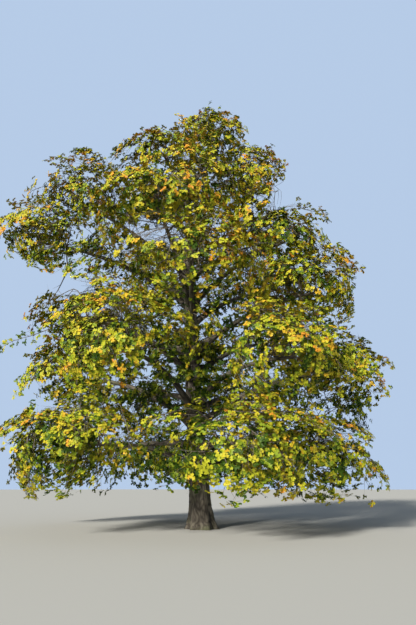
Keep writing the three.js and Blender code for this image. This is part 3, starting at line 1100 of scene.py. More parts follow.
@dataclass(frozen=True)
class SprigPlan:
    """How a sprig unfolds: side twigs leave its axis, twiglets leave those, and each ends in a spray.

    Lengths are shares of the sprig's own length or width unless they end in _m, radii are metres, and angles
    are in degrees. Where straight is set, side twigs are cones.
    """

    axis_rings: int = 5
    axis_reach: float = 0.94
    axis_radii: tuple[float, float] = (0.016, 0.005)
    side_twigs: int = 9
    side_radii: tuple[float, float] = (0.009, 0.004)
    straight: bool = False
    first_foot: float = 0.06
    last_foot: float = 0.86
    foot_toss: float = 0.04
    side_turn: float = 55.0
    side_closing: float = 0.35
    side_turn_toss: float = 8.0
    side_reach: float = 0.62
    side_reach_toss: float = 0.18
    narrowing: float = 0.42
    foot_narrowing: float = 0.35
    foot_fade: float = 9.0
    dome: float = 0.17
    dome_length: float = 0.8
    rim_drop: float = 0.75
    wander: float = 0.05
    twiglets: int = 5
    twiglet_radii: tuple[float, float] = (0.0045, 0.0025)
    twiglet_first: float = 0.75
    twiglet_spread: float = 0.3
    twiglet_range: tuple[float, float] = (0.1, 0.97)
    twiglet_turn: float = 58.0
    twiglet_turn_toss: float = 0.25
    twiglet_m: float = 0.27
    twiglet_length_toss: float = 0.3
    twiglet_rise: float = 0.3
    twiglet_toss: float = 0.5
    leaves: int = 8
    leaf_fan: float = 135.0
    leaf_fan_toss: float = 0.3
    leaf_fan_step: int = 3
    leaf_droop: float = 0.25
    leaf_toss: float = 0.36
    leaf_roll: float = 0.5
    spray_toss: float = 0.42
    leaf_scale: float = 1.0
    size_toss: float = 0.2
    inner_scale: float = 0.3
    leaf_spacing_m: float = 0.014
    missing: float = 0.08
    odd_leaves: float = 0.22
    between: float = -0.1
    bridge: float = 1.2
    ripeness: float = 0.0
    sprig_ripeness: float = 0.2
    spray_ripeness: float = 0.8
    # How much riper sprays are outwards, towards a mass's skin and upwards: partly leaves that turn first in
    # the sun, partly painted light outside and on top and painted shade inside.
    outer_ripeness: float = 0.25
    depth_ripeness: float = 0.75
    height_ripeness: float = 0.5
    up: float = 0.12
    outwards: float = 0.6
    own: float = 0.3
    clump_size_m: float = 1.0
    clump_gap: float = -0.6
    clump_depth: float = 0.5
    box_share: float = 0.028
    leaf_reach_m: float = 0.24
    clearance_m: float = 0.5

    def sway(self, sprigs: Sprigs, share: Array) -> Array:
        """How far sideways a sprig's axis lies at shares of its length."""
        drawn = spread(sprigs.seed[:, None], SprigDraw.WANDER)
        return self.wander * sprigs.width[:, None] * np.sin(math.pi * share) * drawn

    def height(self, sprigs: Sprigs, along: Array, sideways: Array) -> Array:
        """How far the domed sprigs stand above their planes.

        Args:
            sprigs: The sprigs.
            along: How far along its way each place lies.
            sideways: How far to its left.

        Returns:
            Metres above the plane.
        """
        long, wide = sprigs.length[:, None], sprigs.width[:, None]
        out = ((along / long - 0.5) / 0.5)**2 * self.dome_length + (sideways / (wide / 2))**2
        return self.dome * wide * np.maximum(1 - out, -self.rim_drop)

    def lift(self, sprigs: Sprigs, along: Array, sideways: Array) -> Array:
        """How far it stands above its root there."""
        return self.height(sprigs, along, sideways) - self.height(sprigs, 0 * along, 0 * sideways)


# The twigs that fill each mass between those of the solids. Their leaves are less ripe and so darker green:
# partly leaves that turn late inside the crown, partly painted shade.
FILL_RULE = TwigRule(
    places=9, first_index=5, sizes=(0.65, 0.5, 0.4), depth=0.6, twig_radius=0.018, skin=1.1, between=-0.15,
    limb_gap=0.0, least_down=-0.95)
FILL_PLAN = SprigPlan(
    side_twigs=5, twiglets=3, twiglet_m=0.33, leaves=5, leaf_scale=1.26, straight=True, between=-0.2,
    clump_gap=-0.2, ripeness=-0.25)
# The twigs that close the recesses between masses.
BRIDGE_RULE = TwigRule(
    places=12, first_index=20, sizes=(0.62, 0.5), depth=1.5, twig_radius=0.016, skin=1.0, between=-0.1,
    bridge=1.3, least_depth=0.88, side_sizes=(), limb_gap=0.0, least_down=-0.95)
BRIDGE_PLAN = SprigPlan(
    side_twigs=6, twiglets=3, leaves=6, straight=True, between=-0.2, bridge=1.35, ripeness=-0.1)


@dataclass
class Sprays(Rows):
    """The ends of twigs where leaves grow: each a tip, the way it points and the way its leaves face."""

    tip: Array
    way: Array
    face: Array
    seed: Whole
    mass: Whole
    ripeness: Array
    scale: Array


class Foliage:
    """Unfolds sprigs into side twigs, twiglets, and sprays of leaves.

    Sprays that grow in no mass face away from heart, with their height counted by squash. The crown's
    outside, where leaves are ripest and palest, partly as painted light, lies about radius from the upright
    line at axis_x.
    """

    heart = np.array([-0.5, 0.0, 8.0])
    squash = np.array([1.0, 1.0, 0.5])
    axis_x = -0.6
    radius = 8.5

    def __init__(self, crown: Crown, plan: SprigPlan, leaf: tuple[Array, Whole]) -> None:
        """Keeps what it unfolds by.

        Args:
            crown: The masses, whose spaces the leaves keep to.
            plan: How a sprig unfolds.
            leaf: The points and the triangles of one leaf.
        """
        self.crown = crown
        self.plan = plan
        self.leaf_points, self.leaf_faces = leaf

    def axes(self, sprigs: Sprigs) -> Array:
        """The axes of the sprigs.

        Args:
            sprigs: The sprigs.

        Returns:
            The points, of shape (sprigs, rings, 3).
        """
        plan = self.plan
        share = np.linspace(0, 1, plan.axis_rings)[None]
        along, aside = share * sprigs.length[:, None] * plan.axis_reach, plan.sway(sprigs, share)
        return sprigs.place(along, aside, plan.lift(sprigs, along, aside) * share**0.5)

    def side_twigs(self, sprigs: Sprigs) -> Array:
        """The side twigs of the sprigs, to the left and the right in turn.

        Args:
            sprigs: The sprigs.

        Returns:
            The points at the foot, the middle and the tip of each, of shape (sprigs, side twigs, 3, 3).
        """
        plan, seed = self.plan, sprigs.seed[:, None]
        number = np.arange(plan.side_twigs)[None]
        foot = plan.first_foot + (plan.last_foot - plan.first_foot) * (number + 0.5) / plan.side_twigs
        foot = foot + plan.foot_toss * spread(seed, SprigDraw.FOOT + number)
        hand = np.where((number + seed) % 2, 1.0, -1.0)
        turn = plan.side_turn * (1 - plan.side_closing * foot)
        turn = np.radians(turn + plan.side_turn_toss * spread(seed, SprigDraw.TURN + number))
        narrow = 1 - plan.narrowing * foot - plan.foot_narrowing * np.exp(-foot * plan.foot_fade)
        reach = plan.side_reach * sprigs.width[:, None] * narrow
        reach = reach * (1 + plan.side_reach_toss * spread(seed, SprigDraw.REACH + number))
        start_along, start_aside = foot * sprigs.length[:, None] * plan.axis_reach, plan.sway(sprigs, foot)
        points = []
        for part in (0.0, 0.5, 1.0):
            along = start_along + reach * np.cos(turn) * part
            aside = start_aside + hand * reach * np.sin(turn) * part
            above = plan.lift(sprigs, along, aside) * np.clip(foot + part, 0, 1)**0.5
            points.append(sprigs.place(along, aside, above))
        if plan.straight:
            points[1] = (points[0] + points[2]) / 2
        return np.stack(points, axis=2)

    def twiglets(self, sprigs: Sprigs, side: Array) -> tuple[Array, Array]:
        """The twiglets of the side twigs, to the left and the right in turn.

        Args:
            sprigs: The sprigs.
            side: The points of their side twigs.

        Returns:
            The points at the foot and the tip of each, of shape (sprigs, side twigs, twiglets, 2, 3), and
            the way each grows.
        """
        plan, seed, face = self.plan, sprigs.seed[:, None, None], sprigs.face[:, None, None]
        number, step = np.arange(plan.side_twigs)[None, :, None], np.arange(plan.twiglets)[None, None]
        draw = TWIGLET_DRAWS * number + step
        strayed = plan.twiglet_spread * spread(seed, SprigDraw.TWIGLET_FOOT + draw)
        share = np.clip((step + plan.twiglet_first + strayed) / plan.twiglets, *plan.twiglet_range)
        foot, middle, tip = (side[:, :, None, ring] for ring in range(3))
        start = foot + (middle - foot) * np.clip(share * 2, 0, 1)[..., None]
        start = start + (tip - middle) * np.clip(share * 2 - 1, 0, 1)[..., None]
        hand = np.where((step + number) % 2, 1.0, -1.0)
        angle = 1 + plan.twiglet_turn_toss * spread(seed, SprigDraw.TWIGLET_TURN + draw)
        angle = hand * np.radians(plan.twiglet_turn) * angle
        rise = plan.twiglet_rise + plan.twiglet_toss * spread(seed, SprigDraw.TWIGLET_RISE + draw)
        way = unit(swung(unit(tip - foot), face, angle) + face * rise[..., None])
        strayed = plan.twiglet_length_toss * spread(seed, SprigDraw.TWIGLET_REACH + draw)
        reach = plan.twiglet_m * (1 + strayed)
        return np.stack([start, start + way * reach[..., None]], axis=3), way

    def unfold(self, sprigs: Sprigs) -> tuple[list[Tubes], Sprays]:
        """Unfolds all sprigs at once.

        Args:
            sprigs: The sprigs.

        Returns:
            The tubes of their axes, side twigs and twiglets, and the sprays at all their ends.
        """
        plan = self.plan
        axis, side = self.axes(sprigs), self.side_twigs(sprigs)
        twiglet, way = self.twiglets(sprigs, side)
        shown = side[:, :, ::2] if plan.straight else side
        tubes = [Tubes.tapered(axis, plan.axis_radii, Rank.STEM, sprigs.mass),
                 Tubes.tapered(shown, plan.side_radii, Rank.SIDE_TWIG, sprigs.mass),
                 Tubes.tapered(twiglet, plan.twiglet_radii, Rank.TWIGLET, sprigs.mass)]
        tips = (twiglet[..., 1, :], side[:, :, 2], axis[:, -1])
        ways = (way, unit(side[:, :, 2] - side[:, :, 1]), unit(axis[:, -1] - axis[:, -2]))
        tip, ahead = (np.concatenate([part.reshape(-1, 3) for part in parts]) for parts in (tips, ways))
        number = np.arange(len(sprigs.seed))
        own = np.concatenate([np.repeat(number, len(tube.mass) // len(number)) for tube in reversed(tubes)])
        seeds = sprigs.seed[own] * SPRAY_SEEDS + np.arange(len(tip)) % SPRAY_ROUND
        ripe = plan.sprig_ripeness * spread(sprigs.seed, SprigDraw.SPRIG_RIPENESS)[own]
        ripe = ripe + plan.spray_ripeness * spread(seeds, SprigDraw.SPRAY_RIPENESS)
        scale = np.ones(len(tip))
        return tubes, Sprays(tip, ahead, sprigs.face[own], seeds, sprigs.mass[own], ripe, scale)

    def within(self, sprays: Sprays) -> Chosen:
        """Which sprays keep to the space of their mass.

        Args:
            sprays: The sprays.

        Returns:
            One answer for each.
        """
        keep = np.zeros(len(sprays.seed), bool)
        for number, mass in enumerate(self.crown.masses):
            mine = sprays.mass == number
            keep[mine] = self.crown.keeps(number, sprays.tip[mine], mass.tier.leaf_skin, self.plan.between,
                                          self.plan.bridge)
        return keep

    def settle(self, sprays: Sprays, in_mass: bool) -> Chosen:
        """Turns sprays to the light, ripens them towards the crown's outside and top, which paints light
        there and shade inside, and leaves gaps between clumps.

        Args:
            sprays: The sprays.
            in_mass: Whether they grow in a mass of foliage, not on bare wood.

        Returns:
            Which sprays stay.
        """
        plan, tip = self.plan, sprays.tip
        depth = np.zeros(len(tip))
        outwards = unit((tip - self.heart) * self.squash)
        if in_mass:
            for number, mass in enumerate(self.crown.masses):
                mine = sprays.mass == number
                depth[mine] = np.minimum(mass.depth(tip[mine]), 1)
                outwards[mine] = mass.outwards(tip[mine])
            sprays.scale += plan.inner_scale * (1 - depth)
        # Paler, riper tints outwards, upwards and towards a mass's skin are partly leaves that turn first in
        # the sun and partly painted light; the darker tints deep inside are partly painted shade.
        away = np.hypot(tip[:, 0] - self.axis_x, tip[:, 1]) / self.radius
        sprays.ripeness += plan.ripeness + plan.outer_ripeness * away
        sprays.ripeness += plan.height_ripeness * tip[:, 2] / self.crown.layout.trunk.height
        sprays.ripeness += plan.depth_ripeness * depth
        for patch in RIPE_PATCHES:
            sprays.ripeness += patch.ripeness * fading(patch.distance(tip))
        sprays.face = unit(plan.up * UP + plan.outwards * outwards + plan.own * sprays.face)
        clump = np.array([noise.noise(Vector(place) / plan.clump_size_m) for place in tip])
        low, high = np.array(CAD_BOX)
        spare = plan.box_share * (high - low) - plan.leaf_reach_m
        inside = np.all((tip > low - spare) & (tip < high + spare), axis=1)
        inside &= (tip[:, 2] > plan.clearance_m) & ~GAPS.notched(tip)
        return inside & ((clump > plan.clump_gap) | (depth < plan.clump_depth))

    @staticmethod
    def is_open(sprays: Sprays) -> Chosen:
        """Which sprays stay without leaves, so that light shows through or the twigs are bare.

        Args:
            sprays: The sprays.

        Returns:
            One answer for each.
        """
        bare = GAPS.thin(sprays.tip)
        for patch in BARE_PATCHES:
            bare |= patch.distance(sprays.tip) < 1
        return bare

    def leaves(self, sprays: Sprays) -> tuple[Array, Whole, Whole]:
        """The points of all leaves and the spray that each belongs to.

        Args:
            sprays: Where they grow.

        Returns:
            Points of shape (leaves, points of one leaf, 3), each leaf's spray, and by how many tints it is
            riper.
        """
        plan, seed, number = self.plan, sprays.seed[:, None], np.arange(self.plan.leaves)[None]
        normal = unit(sprays.face + plan.spray_toss * toss(sprays.seed, LeafDraw.FACE))
        ahead = on_plane(sprays.way, normal)
        fan = 2 * ((number * plan.leaf_fan_step) % plan.leaves) / (plan.leaves - 1) - 1
        fan = np.radians(plan.leaf_fan) * fan + plan.leaf_fan_toss * spread(seed, LeafDraw.FAN + number)
        tossed = plan.leaf_toss * toss(seed, LeafDraw.WAY + number, LeafDraw.FAN)
        way = unit(swung(ahead[:, None], normal[:, None], fan) - UP * plan.leaf_droop + tossed)
        face = on_plane(normal[:, None] + plan.leaf_roll * tossed[..., ::-1], way)
        base = sprays.tip[:, None] - sprays.way[:, None] * (number * plan.leaf_spacing_m)[..., None]
        size = plan.leaf_scale * sprays.scale[:, None]
        size = size * (1 + plan.size_toss * spread(seed, LeafDraw.SIZE + number))
        axes = np.stack([way, np.cross(face, way), face], axis=-2) * size[..., None, None]
        points = self.leaf_points @ axes + base[:, :, None]
        there = chance(seed, LeafDraw.MISSING + number) >= plan.missing
        owner = np.broadcast_to(np.arange(len(sprays.seed))[:, None], there.shape)
        drawn = chance(seed, LeafDraw.RIPER + number)
        riper = (drawn > 1 - plan.odd_leaves).astype(int) - (drawn < plan.odd_leaves)
        return points[there], owner[there], riper[there]


class Nodes:
    """The node tree of one material, cleared, with its output and its Principled shader."""

    def __init__(self, name: str) -> None:
        """Makes the material.

        Args:
            name: Its name.
        """
        self.material = bpy.data.materials.new(name)
        self.material.use_nodes = True
        self.tree = self.material.node_tree
        self.tree.nodes.clear()
        output = self.tree.nodes.new("ShaderNodeOutputMaterial")
        self.shader = self.tree.nodes.new("ShaderNodeBsdfPrincipled")
        self.tree.links.new(self.shader.outputs[0], output.inputs["Surface"])

    def set(self, node: bpy.types.Node, inputs: dict[Any, Any]) -> None:
        """Sets a node's inputs.

        Args:
            node: The node.
            inputs: Values, colours without alpha or outputs to link, by name or number.
        """
        for name, value in inputs.items():
            if isinstance(value, Socket):
                self.tree.links.new(value, node.inputs[name])
            elif node.inputs[name].type == "RGBA":
                node.inputs[name].default_value = (*value, 1.0)
            else:
                node.inputs[name].default_value = value

    def finish(self, inputs: dict[str, Any]) -> bpy.types.Material:
        """The material, with its shader's inputs set."""
        self.set(self.shader, inputs)
        return self.material

    def add(self, kind: str, inputs: dict[Any, Any], output: Any = 0, **settings: Any) -> Socket:
        """Adds a node.

        Args:
            kind: The end of its type's name.
            inputs: Values or links for its sockets, by name or number.
            output: The name or the number of the output that is wanted.
            settings: Its own settings.

        Returns:
            That output.
        """
        node = self.tree.nodes.new(f"ShaderNode{kind}")
        for name, value in settings.items():
            setattr(node, name, value)
        self.set(node, inputs)
        return node.outputs[output]

    def ramp(self, place: Socket, stops: tuple[tuple[float, Triple], ...]) -> Socket:
        """The colour at a place on a ramp.

        Args:
            place: Where on the ramp.
            stops: The ramp's places and colours.

        Returns:
            The colour.
        """
        colour = self.add("ValToRGB", {"Fac": place})
        elements = colour.node.color_ramp.elements
        while len(elements) < len(stops):
            elements.new(1.0)
        for element, (at, shade) in zip(elements, stops):
            element.position = at
            element.color = (*shade, 1.0)
        return colour

    def maths(self, operation: str, first: Any, second: Any) -> Socket:
        """The result of a Math node on two values."""
        return self.add("Math", {0: first, 1: second}, operation=operation)

    def vary(self, value: Any, amount: float, grain: Socket) -> Socket:
        """The value with this much of a noise added, counted from the noise's middle."""
        centred = self.maths("SUBTRACT", grain, 0.5)
        return self.maths("ADD", value, self.maths("MULTIPLY", amount, centred))

    def mix(self, factor: Socket, first: Any, second: Any) -> Socket:
        """The mix of two colours."""
        return self.add("Mix", {0: factor, 6: first, 7: second}, 2, data_type="RGBA")

    def noise(self, place: Socket, scale: float, detail: float, roughness: float = 0.5) -> Socket:
        """The value of a noise at a place."""
        inputs = {"Vector": place, "Scale": scale, "Detail": detail, "Roughness": roughness}
        return self.add("TexNoise", inputs)


@dataclass(frozen=True)
class BarkFinish:
    """Fissured grey-brown bark, with lichen on its ridges and a green film in places.

    The pattern follows the limb: it reads where the relief stands and how far round and along the limb a
    point lies from the piece's own attributes. stops are how high the three colours lie. The film grows
    where the patches pass film_range, up to film_most.
    """

    name: str = "oak_bark"
    # The colours are partly the bark's own dark grey-brown and partly painted shade: they are darkened for a
    # trunk and limbs that stand in the crown's shade.
    ridge: Triple = (0.052, 0.043, 0.032)
    pale_ridge: Triple = (0.105, 0.092, 0.071)
    fissure: Triple = (0.022, 0.017, 0.013)
    film: Triple = (0.075, 0.088, 0.036)
    stops: Triple = (0.12, 0.5, 0.95)
    film_range: tuple[float, float] = (0.62, 0.82)
    film_most: float = 0.55
    film_grain: float = 0.25
    roughness: float = 0.86
    roughness_grain: float = 0.12
    grain: float = 16.0
    grain_roughness: float = 0.62
    grain_height: float = 0.45
    squeeze: Triple = (1.0, 1.0, 0.28)
    patch: float = 0.9
    bump: float = 0.45
    bump_m: float = 0.012

    def material(self) -> bpy.types.Material:
        """Makes the material.

        Returns:
            The material.
        """
        nodes = Nodes(self.name)
        around = nodes.add("Attribute", {}, "Vector", attribute_name="bark_place")
        relief = nodes.add("Attribute", {}, "Fac", attribute_name="bark_relief")
        stretched = nodes.add("Mapping", {"Vector": around, "Scale": self.squeeze})
        grain = nodes.noise(stretched, self.grain, detail=5, roughness=self.grain_roughness)
        patches = nodes.noise(around, self.patch, detail=3)
        height = nodes.vary(relief, self.grain_height, grain)
        colour = nodes.ramp(height, tuple(zip(self.stops, (self.fissure, self.ridge, self.pale_ridge))))
        filmed = nodes.maths("ADD", patches, nodes.maths("MULTIPLY", self.film_grain, grain))
        low, high = self.film_range
        film = nodes.add("MapRange", {
            "Value": filmed, "From Min": low, "From Max": high, "To Max": self.film_most})
        colour = nodes.mix(film, colour, self.film)
        roughness = nodes.vary(self.roughness, self.roughness_grain, grain)
        bump = nodes.add("Bump", {"Strength": self.bump, "Distance": self.bump_m, "Height": grain})
        return nodes.finish({"Base Color": colour, "Roughness": roughness, "Normal": bump})


@dataclass(frozen=True)
class TwigFinish:
    """The smooth bark of twigs, which turns from one colour to the other where patches pass patch_range."""

    name: str
    dark: Triple
    light: Triple
    roughness: float
    roughness_grain: float = 0.15
    patch: float = 7.0
    patch_grain: float = 0.3
    patch_range: tuple[float, float] = (0.35, 0.65)
    grain: float = 60.0
    bump: float = 0.2
    bump_m: float = 0.002

    def material(self) -> bpy.types.Material:
        """Makes the material.

        Returns:
            The material.
        """
        nodes = Nodes(self.name)
        place = nodes.add("TexCoord", {}, "Object")
        patches = nodes.noise(place, self.patch, detail=3)
        grain = nodes.noise(place, self.grain, detail=2)
        low, high = self.patch_range
        spots = nodes.vary(patches, self.patch_grain, grain)
        spots = nodes.add("MapRange", {"Value": spots, "From Min": low, "From Max": high})
        colour = nodes.mix(spots, self.dark, self.light)
        roughness = nodes.vary(self.roughness, self.roughness_grain, grain)
        bump = nodes.add("Bump", {"Strength": self.bump, "Distance": self.bump_m, "Height": grain})
        return nodes.finish({"Base Color": colour, "Roughness": roughness, "Normal": bump})


# In the order of Rank. Their colours are partly the twigs' own and partly painted shade, darkened to deepen
# the shade inside the crown.
TWIG_FINISHES = (
    TwigFinish("twig_grey_brown", (0.055, 0.045, 0.034), (0.12, 0.105, 0.085), roughness=0.85),
    TwigFinish("twig_brown", (0.065, 0.046, 0.026), (0.125, 0.098, 0.065), roughness=0.8),
    TwigFinish("twig_young", (0.09, 0.06, 0.026), (0.14, 0.12, 0.06), roughness=0.7),
)


@dataclass(frozen=True)
class PlainTint:
    """A plain autumn tint, with the share of the sprays that have it."""

    name: str
    colour: Triple
    share: float
    roughness: float = 0.5
    specular: float = 0.12

    def material(self) -> bpy.types.Material:
        """Makes the material."""
        return Nodes(self.name).finish({
            "Base Color": self.colour, "Roughness": self.roughness, "Specular IOR Level": self.specular})


LEAF_TINTS = (
    # The darkest tint is partly the real green of leaves that turn late and partly painted shade: it goes to
    # the least ripe sprays, deep in the masses and in the fill, to darken the crown's inside.
    PlainTint("leaf_deep_green", (0.024, 0.052, 0.004), share=0.18),
    PlainTint("leaf_green", (0.125, 0.168, 0.01), share=0.21),
    PlainTint("leaf_olive", (0.252, 0.26, 0.014), share=0.33),
    PlainTint("leaf_yellow", (0.31, 0.268, 0.017), share=0.2),
    PlainTint("leaf_gold", (0.37, 0.236, 0.016), share=0.06),
    PlainTint("leaf_orange", (0.4, 0.178, 0.018), share=0.02),
)


def tint_of(ripeness: Array) -> Whole:
    """Which leaf tint each spray gets, so that each tint has its share and the ripest are orange.

    Args:
        ripeness: How ripe each spray is.

    Returns:
        The numbers of their tints.
    """
    order = np.argsort(np.argsort(ripeness, kind="stable"), kind="stable") / max(len(ripeness), 1)
    limits = np.cumsum([tint.share for tint in LEAF_TINTS])[:-1]
    return np.searchsorted(limits, order, side="right")


def fading(distance: Array) -> Array:
    """How strongly a place works at distances that are 1 at its edge: fully up to 0.5, and less up to 1.5."""
    return np.clip(1.5 - distance, 0, 1)


@dataclass(frozen=True)
class Patch:
    """A place in the crown with its radius in metres, and how much riper the leaves in it are."""

    middle: Triple
    radius: float
    ripeness: float = 0.0

    def distance(self, points: Array) -> Array:
        """How far points lie from its middle, where 1 is its radius."""
        return np.linalg.norm(points - np.array(self.middle), axis=1) / self.radius


# Where leaves have turned early, and where twigs are bare.
RIPE_PATCHES = (Patch((0.8, -5.6, 9.6), 0.6, ripeness=1.6),)
BARE_PATCHES = (Patch((-6.8, -3.4, 9.3), 0.9),)


@dataclass(frozen=True)
class Opening:
    """Where the crown is thin: an ellipse, in degrees to the right and up as seen from the front.

    thinness is how thin the crown is in it. Nothing at all grows in it where it is a notch in the outline.
    """

    right: float
    up: float
    half_width: float
    half_height: float
    thinness: float
    notch: bool = False

    def cover(self, right: Array, up: Array) -> Array:
        """How thin it makes the crown at these angles."""
        away = ((right - self.right) / self.half_width)**2 + ((up - self.up) / self.half_height)**2
        return self.thinness * fading(away)


# As the photograph shows light through the crown.
OPENINGS = (
    Opening(-6.8, 28.9, 4.2, 1.4, 1.0),
    Opening(-10.6, 10.9, 3.2, 1.3, 0.45),
    Opening(-4.4, 14.0, 1.4, 2.4, 0.4),
    Opening(-1.0, 20.0, 1.0, 4.0, 0.45),
    Opening(-14.5, 19.4, 3.2, 1.4, 0.4),
    Opening(8.0, 32.0, 4.2, 2.2, 0.4),
    Opening(-18.6, 21.9, 4.6, 1.1, 1.0, notch=True),
    Opening(-19.4, 8.4, 3.4, 0.9, 0.45),
    Opening(10.2, 33.0, 1.8, 1.4, 1.0, notch=True),
)


@dataclass(frozen=True)
class Gaps:
    """How gaps of about so many degrees run through the crown along the line of sight from the front.

    base is how thin the crown is outside all openings, slope how sharply the noise decides, and notched_from
    how strongly a notch has to work for nothing to grow.
    """

    degrees: float = 1.15
    base: float = 0.12
    middle: float = 0.5
    slope: float = 0.95
    notched_from: float = 0.5

    @staticmethod
    def angles(points: Array) -> tuple[Array, Array]:
        """Where the front sees points.

        Args:
            points: The points.

        Returns:
            Degrees to the right, and degrees up.
        """
        away = points - np.array(EYE)
        right = np.degrees(np.arctan2(away[:, 0], away[:, 1]))
        return right, np.degrees(np.arctan2(away[:, 2], np.hypot(away[:, 0], away[:, 1])))

    def thin(self, points: Array) -> Chosen:
        """Which points lie in a gap.

        Args:
            points: The points.

        Returns:
            One answer for each.
        """
        right, up = self.angles(points)
        thinness = np.max([opening.cover(right, up) for opening in OPENINGS], axis=0)
        places = np.stack([right, up, np.zeros_like(up)], axis=-1) / self.degrees
        drawn = self.middle + self.slope * np.array([noise.noise(Vector(place)) for place in places])
        return drawn < np.maximum(self.base, thinness)

    def notched(self, points: Array) -> Chosen:
        """Which points lie in a notch of the outline."""
        covers = [opening.cover(*self.angles(points)) for opening in OPENINGS if opening.notch]
        return np.max(covers, axis=0) > self.notched_from


GAPS = Gaps()


class Shelf:
    """Turns points and faces into pieces of the tree."""

    def __init__(self) -> None:
        """Makes the materials once."""
        self.leaf_materials = [tint.material() for tint in LEAF_TINTS]
        self.twig_materials = [finish.material() for finish in TWIG_FINISHES]
        self.bark = BarkFinish().material()

    @staticmethod
    def mesh(name: str, points: Array, faces: Whole, kinds: Whole,
             materials: list[bpy.types.Material]) -> bpy.types.Object:
        """A mesh object from arrays of triangles.

        Args:
            name: The piece's name.
            points: Its points.
            faces: Its triangles.
            kinds: The number of each triangle's material.
            materials: The materials.

        Returns:
            The object.
        """
        mesh = bpy.data.meshes.new(name)
        mesh.vertices.add(len(points))
        mesh.vertices.foreach_set("co", points.astype(np.float32).ravel())
        mesh.loops.add(faces.size)
        mesh.loops.foreach_set("vertex_index", faces.astype(np.int32).ravel())
        mesh.polygons.add(len(faces))
        mesh.polygons.foreach_set("loop_start", np.arange(0, faces.size, 3, dtype=np.int32))
        mesh.polygons.foreach_set("material_index", kinds.astype(np.int32))
        for material in materials:
            mesh.materials.append(material)
        mesh.update(calc_edges=True)
        piece = bpy.data.objects.new(name, mesh)
        bpy.context.scene.collection.objects.link(piece)
        return piece

    @staticmethod
    def keep(piece: bpy.types.Object, slot: str, nodes: list[str]) -> None:
        """Says what a finished piece rides on and stands for.

        Args:
            piece: The piece.
            slot: Not used.
            nodes: The solids that it stands for.
        """
        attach(piece, "root")
        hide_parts(*nodes)
        LOG.info("%s: %d triangles", piece.name, sum(len(face.vertices) - 2 for face in piece.data.polygons))


@dataclass(frozen=True)
class BarkRelief:
    """How deep and how wide the fissures of the bark are, in metres, and how far a limb's sides wander.

    most is how deep they may be as a share of the radius, and level how much of their depth lies inwards.
    Fissures bend by bend over bend_scale waves a metre, and fine ones are fine_scale times narrower.
    """

    depth: float = 0.022
    most: float = 0.16
    level: float = 0.75
    width: float = 0.11
    stretch: float = 4.2
    swell: float = 0.05
    swell_width: float = 0.9
    bend: float = 0.35
    bend_scale: Triple = (4, 4, 1.5)
    sharpness: float = 2.2
    fine: float = 0.5
    fine_scale: float = 2.3

    def fissures(self, places: Array) -> Array:
        """How high the bark stands.

        Args:
            places: Places round and along a limb, in metres.

        Returns:
            Heights from 0 in a fissure to 1 on a ridge.
        """
        heights = []
        for x, y, z in places:
            bent = self.bend * noise.noise(Vector((x, y, z)) * Vector(self.bend_scale))
            at = Vector((x / self.width + bent, y / self.width - bent, z / (self.width * self.stretch)))
            fissure, fine = abs(noise.noise(at)), abs(noise.noise(at * self.fine_scale))
            heights.append(1 - fissure * self.sharpness - self.fine * fine)
        return np.clip(1 - np.array(heights), 0, 1)


@dataclass(frozen=True)
class TrunkLine:
    """The trunk as a tube: its rings are level, closer together towards the ground, and its tip is blunt.

    sides is how many sides the tube has, and rounds into how many parts its length is divided, round after
    round. The tip narrows over the last share of the length, down to the root of least.
    """

    shape: TrunkShape
    sides: int = 112
    rounds: tuple[int, ...] = (16, 15)
    crowding: float = 1.35
    tip: float = 0.03
    least: float = 0.02

    @property
    def length(self) -> float:
        """Its length."""
        return self.shape.height

    def axis(self, share: Array) -> Array:
        """Points on its axis."""
        return self.shape.centre(self.length * share**self.crowding)

    def rings(self, share: Array) -> tuple[Array, Array]:
        """The two directions across that its rings are drawn by.

        Args:
            share: Shares of its length.

        Returns:
            The directions at each.
        """
        level = np.broadcast_to(np.eye(3)[:2, None], (2, len(share), 3))
        return level[0], level[1]

    def girth(self, share: Array, angle: Array) -> Array:
        """Its radius at shares of its length and angles round it."""
        blunt = np.sqrt(np.clip((1 - share) / self.tip, self.least, 1))
        return self.shape.girth(self.length * share**self.crowding, angle) * blunt


@dataclass(frozen=True)
class LimbLine:
    """A limb as a tube of the same kind, with rings square to it.

    Its direction is taken over step to both sides, and it counts as upright from the rise steep on.
    """

    limb: Limb
    sides: int = 20
    rounds: tuple[int, ...] = (8, 7)
    tip: float = 0.04
    least: float = 0.05
    step: float = 0.004
    steep: float = 0.7

    @property
    def length(self) -> float:
        """Its length."""
        return self.limb.length()

    def axis(self, share: Array) -> Array:
        """Points on its axis."""
        return self.limb.at(share)

    def rings(self, share: Array) -> tuple[Array, Array]:
        """The two directions across that its rings are drawn by.

        Args:
            share: Shares of its length.

        Returns:
            The directions at each.
        """
        before, after = (self.axis(np.clip(share + step, 0, 1)) for step in (-self.step, self.step))
        ahead = unit(after - before)
        upright = abs(ahead[:, 2]).min() > self.steep
        side = on_plane(np.array([1.0, 0.0, 0.0]), ahead) if upright else unit(np.cross(ahead, UP))
        return side, np.cross(ahead, side)

    def girth(self, share: Array, angle: Array) -> Array:
        """Its radius at shares of its length, which is the same at all angles."""
        return self.limb.radius(share) * np.sqrt(np.clip((1 - share) / self.tip, self.least, 1))


